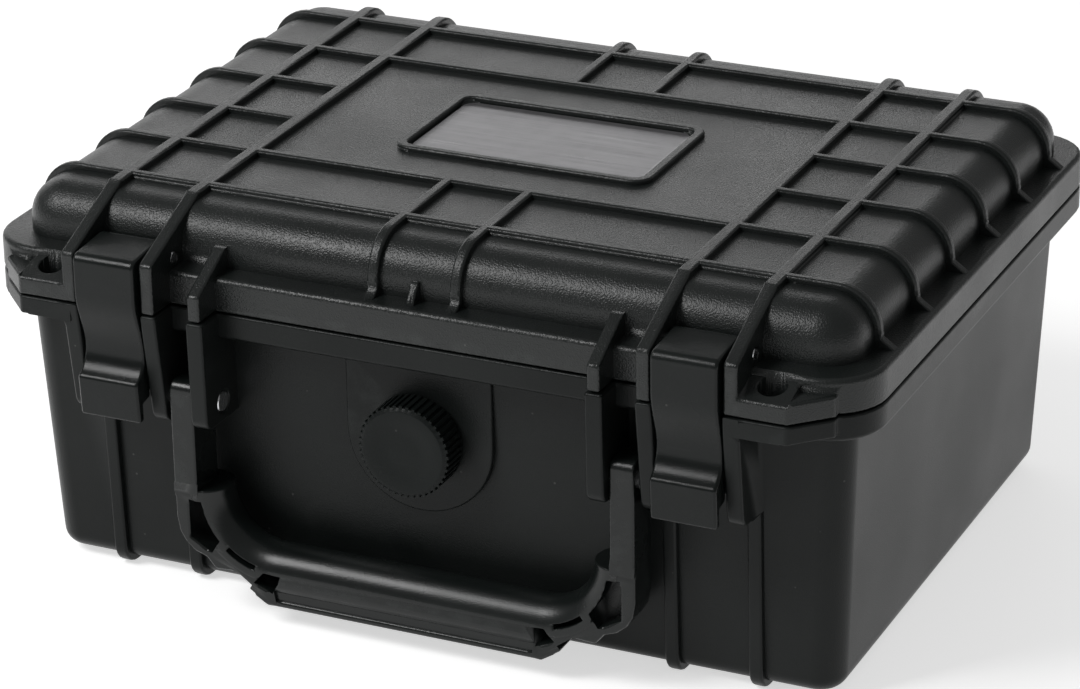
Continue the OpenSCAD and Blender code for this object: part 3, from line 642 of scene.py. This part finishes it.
def feed_shader(tree, shader, colours, roughness, height, depth):
    """Feeds a shader with its colours, its roughness and its relief."""
    tree.links.new(colours, shader.inputs["Base Color"])
    tree.links.new(roughness, shader.inputs["Roughness"])
    bump = add_node(tree, "ShaderNodeBump", {"Height": height, "Strength": 1.0, "Distance": depth})
    tree.links.new(bump.outputs[0], shader.inputs["Normal"])


@material_kind
def plastic(
    tree, shader, spot, rgb, roughness, grain, depth, dust, specular,
    wear_and_highlight=0.5, scuffs=0.3, patch=0.03, smudge=0.0,
):
    """Moulded plastic with grain, mottling, abraded edges that also carry a painted highlight, scuffs and a
    little dust.
    """
    height = place(tree, grain_effect, spot, {"Pebble Size": grain})["Height"]
    mottle = place(tree, mottle_effect, spot, {"Patch Size": patch})["Value"]
    worn_and_highlit = place(tree, edge_wear_and_highlight_effect, spot, {"Amount": wear_and_highlight})["Mask"]
    dusty = place(tree, dust_effect, spot, {"Spacing": 0.0055, "Amount": dust})["Mask"]
    scuffed = place(tree, scuff_effect, spot, {"Amount": scuffs})["Mask"]
    dust_colour = (0.16, 0.16, 0.155)
    rgb = tuple(rgb)
    body = mix_colours(tree, mottle, lighter(rgb, 0.86), lighter(rgb, 1.16, smudge))
    # convex edges are painted lighter: partly abrasion, partly a painted highlight along the edges
    rubbed_and_highlit = mix_colours(tree, worn_and_highlit, body, lighter(rgb, 2.2, 0.01))
    scratched = mix_colours(tree, scuffed, rubbed_and_highlit, lighter(rgb, 1.8, 0.004))
    powdered = mix_colours(tree, dusty, scratched, dust_colour)
    sheen = spread(tree, mottle, 0.0, 1.0, roughness - 0.04, roughness + 0.04, smooth=False)
    rubbed_sheen = calculate(tree, "SUBTRACT", sheen, times(tree, worn_and_highlit, 0.08))
    dull = calculate(tree, "ADD", rubbed_sheen, times(tree, dusty, 0.3), clamp=True)
    marks = calculate(tree, "SUBTRACT", height, times(tree, scuffed, 0.3))
    feed_shader(tree, shader, powdered, dull, marks, depth)
    shader.inputs["Specular IOR Level"].default_value = specular


@material_kind
def metal(tree, shader, spot, rgb, roughness, stretch, depth, metallic=1.0):
    """Drawn or turned metal with fine lines and slight tarnish."""
    lines = place(tree, brushed_effect, spot, {"Stretch": stretch})["Value"]
    mottle = place(tree, mottle_effect, spot, {"Patch Size": 0.004})["Value"]
    rgb = tuple(rgb)
    tarnished = mix_colours(tree, mottle, lighter(rgb, 0.82), rgb)
    drawn = mix_colours(tree, lines, lighter(rgb, 0.9), tarnished)
    sheen = spread(tree, lines, 0.0, 1.0, roughness - 0.05, roughness + 0.07, smooth=False)
    feed_shader(tree, shader, drawn, sheen, lines, depth)
    shader.inputs["Metallic"].default_value = metallic


@material_kind
def foam(tree, shader, spot, rgb, cell):
    """Open-cell foam with visible pores, painted darker in their hollows as painted shade."""
    pores = place(tree, pore_effect, spot, {"Cell Size": cell})
    mottle = place(tree, mottle_effect, spot, {"Patch Size": 0.02})["Value"]
    rgb = tuple(rgb)
    # the pore hollows are painted darker and their rims lighter, as painted shade
    painted_pore_shade = mix_colours(tree, pores["Shade"], lighter(rgb, 0.45), lighter(rgb, 1.35))
    patched = mix_colours(tree, times(tree, mottle, 0.25), painted_pore_shade, lighter(rgb, 1.7))
    sheen = spread(tree, pores["Shade"], 0.0, 1.0, 1.0, 0.88, smooth=False)
    feed_shader(tree, shader, patched, sheen, pores["Height"], cell * 0.5)
    shader.inputs["Specular IOR Level"].default_value = 0.15


def lid_finish(finish):
    """Coarse grain of the lid."""
    rgb, grain, depth = finish.shell_colour, finish.grain_size, finish.grain_depth
    return plastic("Grained black plastic", rgb, finish.shell_gloss, grain, depth, finish.dust, 0.43)


def base_finish(finish):
    """Finer grain of the base, whose colour is painted darker than the lid's as painted shade on its walls.
    """
    # the base's colour is the lid's painted darker, as painted shade
    rgb = lighter(finish.shell_colour, 0.8)
    grain, depth = finish.grain_size * 0.8, finish.grain_depth * 0.45
    broad = {"patch": 0.05, "smudge": 0.006}
    return plastic("Fine black plastic", rgb, finish.shell_gloss, grain, depth, finish.dust, 0.18, **broad)


def latch_finish(finish):
    """Smooth satin plastic of the latches."""
    grain, depth, dust = finish.grain_size * 0.7, finish.grain_depth * 0.35, finish.dust
    return plastic("Satin latch plastic", finish.latch_colour, 0.24, grain, depth, dust, 0.23, wear_and_highlight=0.8)


def handle_finish(finish):
    """Smoother plastic of the carrying handle."""
    grain, depth, dust = finish.grain_size * 0.8, finish.grain_depth * 0.3, finish.dust * 0.6
    return plastic("Satin handle plastic", finish.handle_colour, 0.27, grain, depth, dust, 0.36, wear_and_highlight=0.6)


def knob_finish(finish):
    """Dull plastic of the vent knob."""
    grain, depth, dust = finish.grain_size * 0.7, finish.grain_depth * 0.4, finish.dust * 0.6
    return plastic("Knob plastic", finish.knob_colour, 0.4, grain, depth, dust, 0.155, wear_and_highlight=0.6)


def rubber_finish(finish):
    """Matte rubber of the seals."""
    grain, depth, dust = 0.0003, 0.00001, finish.dust
    return plastic("Seal rubber", finish.seal_colour, 0.72, grain, depth, dust, 0.3, wear_and_highlight=0.0, scuffs=0.0)


def steel_finish(finish):
    """Bright turned steel."""
    return metal("Bright steel", finish.steel_colour, 0.26, (1600.0, 250.0, 250.0), 0.000008)


def brass_finish(finish):
    """Turned brass."""
    return metal("Turned brass", finish.brass_colour, 0.3, (300.0, 1600.0, 300.0), 0.000008)


def plate_finish(finish):
    """Dark satin metal of the bare plate."""
    stretch = (30.0, 1500.0, 1500.0)
    return metal("Dark plate metal", finish.plate_colour, 0.32, stretch, 0.000003, metallic=0.7)


def foam_finish(finish):
    """Charcoal foam."""
    return foam("Charcoal foam", finish.foam_colour, 0.0009)


# -------- pieces


class TOOLCASE_OT_shells(bpy.types.Operator):
    """Round the moulded edges of the lid and the base, and give them their grain"""

    bl_idname = "toolcase.shells"
    bl_label = "Shells"

    def execute(self, context):
        sizes, finish = chosen(context)
        for node, name, body, material in (
            ("lid_shell", "lid_moulding", "lid", lid_finish(finish)),
            ("base_shell", "base_moulding", "base", base_finish(finish)),
        ):
            piece = copy_of_node(node, name)
            round_edges(piece, sizes.shell_edge)
            finish_piece(piece, body, material, node)
        return {"FINISHED"}


class TOOLCASE_OT_latches(bpy.types.Operator):
    """Make both latches with rounded edges"""

    bl_idname = "toolcase.latches"
    bl_label = "Latches"

    def execute(self, context):
        sizes, finish = chosen(context)
        for side in SIDES:
            node = "latch_" + side
            low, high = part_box("latch_pin_" + side)
            hidden_from, hidden_below = 2 * low.y - high.y, high.z

            def hidden(point, behind=hidden_from, below=hidden_below):
                """True for a point behind the lever's plate and no higher than its pin."""
                return point.y > behind and point.z < below

            piece = copy_of_node(node, "latch_lever_" + side)
            round_edges(piece, sizes.latch_edge, spared=hidden)
            finish_piece(piece, node, latch_finish(finish), node)
        return {"FINISHED"}


class TOOLCASE_OT_handle(bpy.types.Operator):
    """Make the carrying handle with rounded edges"""

    bl_idname = "toolcase.handle"
    bl_label = "Carrying Handle"

    def execute(self, context):
        sizes, finish = chosen(context)
        # cuts across the arms, so that their long edges are rounded in shorter stretches
        arm_cuts = (0.0318, 0.046)
        piece = copy_of_node("handle", "carrying_handle", levels=arm_cuts)
        round_edges(piece, sizes.handle_edge)
        finish_piece(piece, "handle", handle_finish(finish), "handle")
        return {"FINISHED"}


def steel_pin(node, name, sizes):
    """A turned pin in place of a plain node, with chamfered ends that are knurled."""
    low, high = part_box(node)
    centre = (low + high) / 2
    span, radius = high.x - low.x, (high.z - low.z) / 2
    knurl_length = min(0.003, span * 0.15)
    piece = cylinder(name, 36, radius, span, centre, "X")
    edit(piece)
    for end in SIDES.values():
        pick(piece, "FACE", lambda face, end=end: face.normal.x * end > 0.9)
        for width in (sizes.pin_chamfer, radius * 0.35, radius * 0.25):
            bpy.ops.mesh.inset(thickness=width, depth=0.0)
    for end in SIDES.values():
        bpy.ops.mesh.select_all(action="SELECT")
        cut((centre.x + end * (span / 2 - knurl_length), centre.y, centre.z), (1.0, 0.0, 0.0))
    leave_edit()
    # the outer ring of each end steps back into a chamfer
    for vertex in piece.data.vertices:
        from_end = span / 2 - abs(vertex.co.x - centre.x)
        from_axis = math.hypot(vertex.co.y - centre.y, vertex.co.z - centre.z)
        if from_end < 1e-5 and from_axis > radius - sizes.pin_chamfer * 0.5:
            vertex.co.x -= math.copysign(sizes.pin_chamfer, vertex.co.x - centre.x)
    piece.data.update()

    def in_knurl(face):
        """True for every other long face near the ends."""
        from_end = span / 2 - abs(face.calc_center_median().x - centre.x)
        facet = round(math.degrees(math.atan2(face.normal.z, face.normal.y)) / 10.0 - 0.5)
        lengthwise = len(face.verts) == 4 and abs(face.normal.x) < 0.05
        return lengthwise and from_end < knurl_length and facet % 2 == 0

    edit(piece)
    pick(piece, "FACE", in_knurl)
    bpy.ops.mesh.inset(thickness=radius * 0.03, depth=0.0, use_individual=True)
    bpy.ops.transform.shrink_fatten(value=-sizes.knurl_depth)
    leave_edit()
    outward(piece)
    return piece


class TOOLCASE_OT_pins(bpy.types.Operator):
    """Turn the steel pins of the latches, the handle and the hinges"""

    bl_idname = "toolcase.pins"
    bl_label = "Steel Pins"

    def execute(self, context):
        sizes, finish = chosen(context)
        for kind, body in (("latch_pin", "lid"), ("handle_pin", "base"), ("hinge_pin", "base")):
            for side in SIDES:
                node = f"{kind}_{side}"
                piece = steel_pin(node, f"{kind}_turned_{side}", sizes)
                round_edges(piece, radius=0.00006, segments=2, angle=20.0)
                finish_piece(piece, body, steel_finish(finish), node)
        return {"FINISHED"}


class TOOLCASE_OT_knob(bpy.types.Operator):
    """Model the toothed vent knob with its dished face"""

    bl_idname = "toolcase.knob"
    bl_label = "Vent Knob"

    def execute(self, context):
        sizes, finish = chosen(context)
        teeth, tooth = sizes.knob_teeth, sizes.knob_tooth
        front, back = KNOB_LOW.y, KNOB_HIGH.y
        middle = (VALVE_X, (front + back) / 2, VALVE_Z)
        crown = (KNOB_HIGH.x - KNOB_LOW.x) / 2
        root = crown - tooth
        piece = cylinder("vent_knob", teeth * 4, root, back - front, middle, "Y")
        step = 2 * math.pi / (teeth * 4)

        def on_tooth(face):
            """True for two of every four faces round the knob."""
            centre = face.calc_center_median()
            turn = math.atan2(centre.z - VALVE_Z, centre.x - VALVE_X)
            return abs(face.normal.y) < 0.1 and math.floor(turn / step + 1e-4) % 4 in (0, 1)

        # the teeth end just inside the knob's box and are shorter than the knob along its axis
        inside, shorter = 0.00002, 0.86
        grow = (crown - inside) / root
        edit(piece)
        pick(piece, "FACE", on_tooth)
        bpy.ops.mesh.extrude_region_move()
        bpy.ops.transform.resize(value=(grow, shorter, grow), center_override=middle)
        # the face gets a slanted edge, a flat ring and a dish that deepens ring by ring
        face_edge = 0.0008
        pick(piece, "FACE", lambda face: face.normal.y < -0.9 and len(face.verts) > 8)
        bpy.ops.mesh.inset(thickness=face_edge, depth=0.0)
        bpy.ops.mesh.inset(thickness=face_edge, depth=0.0)
        for drop in (0.1, 0.25, 0.3, 0.2, 0.15):
            bpy.ops.mesh.inset(thickness=0.0011, depth=-sizes.knob_dish * drop)
        leave_edit()
        for vertex in piece.data.vertices:
            from_axis = math.hypot(vertex.co.x - VALVE_X, vertex.co.z - VALVE_Z)
            if vertex.co.y < front + 1e-6 and root - face_edge / 2 < from_axis < root + 1e-5:
                vertex.co.y += face_edge * 0.7
        piece.data.update()
        # the back is hollowed round its hub, down to the bore of the stem
        hollow, hub, bore = 0.0086, BUSH_RADIUS + 0.0006, STEM_RADIUS + RUNNING_FIT
        first, second = 0.0016, 0.0006
        bore_depth = back - first - second - STEM_LOW.y + 0.0001
        edit(piece)
        pick(piece, "FACE", lambda face: face.normal.y > 0.9 and len(face.verts) > 8)
        for width, depth in ((root - hollow, first), (hollow - hub, second), (hub - bore, bore_depth)):
            bpy.ops.mesh.inset(thickness=width, depth=0.0)
            bpy.ops.mesh.extrude_region_move(TRANSFORM_OT_translate={"value": (0.0, -depth, 0.0)})
        leave_edit()
        outward(piece)
        round_edges(piece, radius=0.00009, segments=2, angle=30.0)
        finish_piece(piece, "valve", knob_finish(finish), "valve_knob")
        return {"FINISHED"}


class TOOLCASE_OT_vent(bpy.types.Operator):
    """Model the brass bush and nut of the vent, and finish its stem, clip and ring"""

    bl_idname = "toolcase.vent"
    bl_label = "Vent Parts"

    def execute(self, context):
        finish = context.scene.toolcase_finish
        corner_radius = (NUT_HIGH.z - NUT_LOW.z) / math.sqrt(3)
        nut = self.tube("vent_nut", 6, NUT_LOW, NUT_HIGH, corner_radius, BUSH_RADIUS + RUNNING_FIT)
        round_edges(nut, radius=0.00045, segments=3)
        bush = self.tube("vent_bush", 48, BUSH_LOW, BUSH_HIGH, BUSH_RADIUS, STEM_RADIUS + RUNNING_FIT)
        self.thread(bush)
        round_edges(bush, radius=0.00012, segments=1, angle=50.0)
        for piece, node in ((nut, "valve_nut"), (bush, "valve_bush")):
            finish_piece(piece, "base", brass_finish(finish), node)
        for node, material in (
            ("valve_stem", steel_finish(finish)),
            ("valve_clip", steel_finish(finish)),
            ("valve_o_ring", rubber_finish(finish)),
        ):
            kept = FRAME["nodes"][node]
            kept.data.materials.clear()
            kept.data.materials.append(material)
        return {"FINISHED"}

    def thread(self, bush):
        """Cuts rings into the inner end of the bush and sinks every other one."""
        rings, pitch, depth = 10, 0.0003, 0.00028
        start = BUSH_HIGH.y - 0.0008
        edit(bush)
        for number in range(rings):
            bpy.ops.mesh.select_all(action="SELECT")
            cut((0.0, start - number * pitch, 0.0), (0.0, 1.0, 0.0))
        leave_edit()
        for vertex in bush.data.vertices:
            across = Vector((vertex.co.x - VALVE_X, 0.0, vertex.co.z - VALVE_Z))
            turns = (start - vertex.co.y) / pitch
            number = round(turns)
            on_ring = abs(turns - number) < 0.05 and 0 <= number < rings
            if across.length > BUSH_RADIUS * 0.9 and on_ring and number % 2:
                vertex.co -= across.normalized() * depth
        bush.data.update()

    def tube(self, name, sides, low, high, radius, bore):
        """A tube along Y between two corners."""
        centre = (VALVE_X, (low.y + high.y) / 2, VALVE_Z)
        piece = cylinder(name, sides, radius, high.y - low.y, centre, "Y")
        if sides == 6:
            edit(piece)
            bpy.ops.transform.rotate(value=math.radians(30), orient_axis="Y", center_override=centre)
            leave_edit()
        drill = cylinder("drill", 48, bore, high.y - low.y + 0.01, centre, "Y")
        modify(piece, "BOOLEAN", operation="DIFFERENCE", object=drill, solver="EXACT")
        bpy.data.objects.remove(drill)
        return piece


class TOOLCASE_OT_plate(bpy.types.Operator):
    """Model the bare name plate with its soft edge"""

    bl_idname = "toolcase.plate"
    bl_label = "Name Plate"

    def execute(self, context):
        finish = context.scene.toolcase_finish
        size = PLATE_HIGH - PLATE_LOW
        corner_radius, border, slope, recess = 0.003, 0.0003, 0.0006, 0.00012
        middle = (PLATE_LOW + PLATE_HIGH) / 2
        cube = bpy.ops.mesh.primitive_cube_add
        piece = new_piece("name_panel", cube, size=1.0, location=middle, scale=size)
        settle(piece)
        edit(piece)
        pick(piece, "EDGE", lambda edge: abs(edge.verts[0].co.z - edge.verts[1].co.z) > size.z / 2)
        bpy.ops.mesh.bevel(offset=corner_radius, offset_type="OFFSET", segments=10, affect="EDGES")
        pick(piece, "FACE", lambda face: face.normal.z > 0.9)
        bpy.ops.mesh.inset(thickness=border, depth=0.0)
        bpy.ops.mesh.inset(thickness=slope, depth=-recess)
        leave_edit()
        round_edges(piece, radius=0.0001, segments=2)
        finish_piece(piece, "lid", plate_finish(finish), "name_plate")
        return {"FINISHED"}


class TOOLCASE_OT_seal(bpy.types.Operator):
    """Round the rubber seal of the lid"""

    bl_idname = "toolcase.seal"
    bl_label = "Lid Seal"

    def execute(self, context):
        finish = context.scene.toolcase_finish
        piece = copy_of_node("lid_seal", "lid_seal_cord")
        round_edges(piece, radius=0.00045, segments=3)
        finish_piece(piece, "lid", rubber_finish(finish), "lid_seal")
        return {"FINISHED"}


class TOOLCASE_OT_foam(bpy.types.Operator):
    """Model the foam inlays: the pad, the cubed pluck foam and the convoluted lid foam"""

    bl_idname = "toolcase.foam"
    bl_label = "Foam Inlays"

    def execute(self, context):
        sizes, finish = chosen(context)
        material = foam_finish(finish)
        pad = copy_of_node("base_foam_pad", "foam_floor_pad")
        round_edges(pad, radius=0.0012, segments=3)
        for piece, body, slot, node, fill in (
            (pad, "base", "foam_dark", "base_foam_pad", 0.9),
            (self.cubed_foam(sizes), "base", "foam_dark", "base_pluck_foam", 0.9),
            (self.crate_foam(sizes), "lid", "foam_light", "lid_foam", 0.85),
        ):
            finish_piece(piece, body, material, node)
        return {"FINISHED"}

    def cubed_foam(self, sizes):
        """The slit block of foam with softened edges, whose cubes stand a little uneven."""
        piece = copy_of_node("base_pluck_foam", "pluck_foam_cubes")
        round_edges(piece, sizes.foam_edge, segments=2)
        centre = (PLUCK_LOW + PLUCK_HIGH) / 2
        for vertex in piece.data.vertices:
            if vertex.co.z > PLUCK_HIGH.z - sizes.foam_slit_depth / 2:
                column = math.floor((vertex.co.x - centre.x) / sizes.foam_cube)
                row = math.floor((vertex.co.y - centre.y) / sizes.foam_cube + 0.5)
                vertex.co.z -= random.Random(100 * column + row).uniform(0.0, sizes.foam_uneven)
        piece.data.update()
        edit(piece)
        bpy.ops.transform.vertex_random(offset=0.0001, seed=7)
        leave_edit()
        bpy.ops.object.shade_smooth_by_angle(angle=math.radians(50))
        return piece

    def crate_foam(self, sizes):
        """A slab whose lower face is cut into rounded peaks and hollows."""
        low, high = LID_FOAM_LOW, LID_FOAM_HIGH
        centre = (low + high) / 2
        half = (high - low) / 2
        slab = copy_of_node("lid_foam", "lid_foam_crate")
        pitch, peak = sizes.crate_pitch, sizes.crate_height
        cuts_per_peak, flat_border = 8, 0.004
        edit(slab)
        cut((0.0, 0.0, low.z + peak), ALONG_Z, clear_inner=True, use_fill=True)
        for axis in (0, 1):
            lines = int(half[axis] * 2 / (pitch / cuts_per_peak))
            normal = [0.0, 0.0, 0.0]
            normal[axis] = 1.0
            for number in range(1, lines):
                point = [0.0, 0.0, 0.0]
                point[axis] = centre[axis] - half[axis] + number * 2 * half[axis] / lines
                pick(slab, "FACE", lambda face: face.normal.z < -0.9)
                cut(point, normal)
        leave_edit()
        for vertex in slab.data.vertices:
            if vertex.co.z > low.z + peak + 1e-6:
                continue
            x, y = vertex.co.x - centre.x, vertex.co.y - centre.y
            edge = min(half.x - abs(x), half.y - abs(y))
            keep = min(1.0, max(0.0, edge / flat_border))
            wave = 0.5 + 0.25 * (math.cos(2 * math.pi * x / pitch) + math.cos(2 * math.pi * y / pitch))
            vertex.co.z -= peak * keep * wave
        slab.data.update()
        bpy.ops.object.shade_smooth_by_angle(angle=math.radians(50))
        return slab


# -------- studio


class TOOLCASE_OT_studio(bpy.types.Operator):
    """Set up the camera, the pale floor and the soft lamps"""

    bl_idname = "toolcase.studio"
    bl_label = "Studio"

    def execute(self, context):
        scene, studio = context.scene, context.scene.toolcase_studio
        self.camera(scene, studio)
        self.floor(studio)
        self.lamps(studio)
        self.sky(scene, studio)
        scene.view_settings.view_transform = "Standard"
        return {"FINISHED"}

    def camera(self, scene, studio):
        """Camera on the case's front right, looking down on it."""
        turn, rise, roll = studio.azimuth, studio.elevation, studio.roll
        back = Vector((math.sin(turn) * math.cos(rise), -math.cos(turn) * math.cos(rise), math.sin(rise)))
        right = Vector((math.cos(turn), math.sin(turn), 0.0))
        up = back.cross(right)
        across = math.cos(roll) * right + math.sin(roll) * up
        upward = -math.sin(roll) * right + math.cos(roll) * up
        top_middle = Vector((0.0, 0.00125, FRAME_BOX[1][2]))
        to_left, down = 0.005884, 0.043766
        spot = top_middle - to_left * across - down * upward + studio.distance * back
        turned = Matrix((across, upward, back)).transposed().to_4x4()
        data = bpy.data.cameras.new("camera")
        camera = bpy.data.objects.new("camera", data)
        scene.collection.objects.link(camera)
        camera.matrix_world = Matrix.Translation(spot) @ turned
        data.lens = studio.lens
        data.sensor_width = 36.0
        data.shift_x, data.shift_y = 0.01361, -0.01639
        data.clip_start, data.clip_end = 0.05, 60.0
        scene.camera = camera

    def floor(self, studio):
        """A wide pale floor that shows white and keeps the case's shadow."""
        gap_under_case, glow_strength = 0.00005, 0.6
        place_at = (0.0, 0.0, -gap_under_case)
        floor = new_piece("floor", bpy.ops.mesh.primitive_plane_add, size=24.0, location=place_at)
        settle(floor)
        material = bpy.data.materials.new("Pale floor")
        material.use_nodes = True
        tree = material.node_tree
        tree.nodes.clear()
        result = tree.nodes.new("ShaderNodeOutputMaterial")
        diffuse = add_node(tree, "ShaderNodeBsdfDiffuse", {"Color": (*studio.floor_colour, 1.0)})
        glow = add_node(tree, "ShaderNodeEmission", {"Color": (1.0, 1.0, 1.0, 1.0)})
        path = add_node(tree, "ShaderNodeLightPath")
        seen = calculate(tree, "MAXIMUM", path.outputs["Is Camera Ray"], path.outputs["Is Glossy Ray"])
        seen = calculate(tree, "MAXIMUM", seen, path.outputs["Is Transmission Ray"])
        tree.links.new(times(tree, seen, glow_strength), glow.inputs["Strength"])
        both = add_node(tree, "ShaderNodeAddShader", {0: diffuse.outputs[0], 1: glow.outputs[0]})
        tree.links.new(both.outputs[0], result.inputs["Surface"])
        floor.data.materials.append(material)

    def lamps(self, studio):
        """One soft lamp overhead and a broad weaker one behind the case."""
        for name, power, size, place_at, aim in (
            ("key_lamp", studio.key_power, (0.42, 0.42), (-0.52, -0.63, 0.86), (0.0, -0.03, 0.06)),
            ("rear_lamp", studio.rear_power, (1.7, 0.55), (-0.95, 1.2, 0.52), (0.0, 0.0, 0.06)),
        ):
            data = bpy.data.lights.new(name, "AREA")
            data.shape = "RECTANGLE"
            data.size, data.size_y = size
            data.energy = power
            lamp = bpy.data.objects.new(name, data)
            bpy.context.scene.collection.objects.link(lamp)
            lamp.location = place_at
            direction = Vector(aim) - Vector(place_at)
            lamp.rotation_euler = direction.to_track_quat("-Z", "Y").to_euler()

    def sky(self, scene, studio):
        """Even pale light from all round."""
        world = bpy.data.worlds.new("Even light")
        world.use_nodes = True
        background = world.node_tree.nodes["Background"]
        background.inputs["Color"].default_value = (1.0, 1.0, 1.0, 1.0)
        background.inputs["Strength"].default_value = studio.sky_strength
        scene.world = world


class TOOLCASE_PT_panel(bpy.types.Panel):
    """Lists the pieces of the tool case and their settings"""

    bl_idname = "TOOLCASE_PT_panel"
    bl_label = "Tool Case"
    bl_space_type = "VIEW_3D"
    bl_region_type = "UI"
    bl_category = "Tool Case"

    def draw(self, context):
        layout = self.layout
        column = layout.column(align=True)
        for operator in STEPS:
            column.operator(operator.bl_idname)
        for name in GROUPS:
            group = getattr(context.scene, name)
            box = layout.box()
            box.label(text=name.removeprefix("toolcase_").title())
            for key in group.bl_rna.properties.keys():
                if key not in ("rna_type", "name"):
                    box.prop(group, key)


GROUPS = {
    "toolcase_sizes": ToolCaseSizes,
    "toolcase_finish": ToolCaseFinish,
    "toolcase_studio": ToolCaseStudio,
}
STEPS = (
    TOOLCASE_OT_studio,
    TOOLCASE_OT_shells,
    TOOLCASE_OT_latches,
    TOOLCASE_OT_handle,
    TOOLCASE_OT_pins,
    TOOLCASE_OT_knob,
    TOOLCASE_OT_vent,
    TOOLCASE_OT_plate,
    TOOLCASE_OT_seal,
    TOOLCASE_OT_foam,
)


def register():
    """Registers the settings, the operators and the panel."""
    for entry in (*GROUPS.values(), *STEPS, TOOLCASE_PT_panel):
        bpy.utils.register_class(entry)
    for name, group in GROUPS.items():
        setattr(bpy.types.Scene, name, bpy.props.PointerProperty(type=group))


def unregister():
    """Takes the settings, the operators and the panel away again."""
    for name in GROUPS:
        delattr(bpy.types.Scene, name)
    for entry in reversed((*GROUPS.values(), *STEPS, TOOLCASE_PT_panel)):
        bpy.utils.unregister_class(entry)


def main():
    register()
    for operator in STEPS:
        group, name = operator.bl_idname.split(".")
        if getattr(getattr(bpy.ops, group), name)() != {"FINISHED"}:
            raise RuntimeError(f"{operator.bl_label} did not finish")


if __name__ == "__main__":
    main()
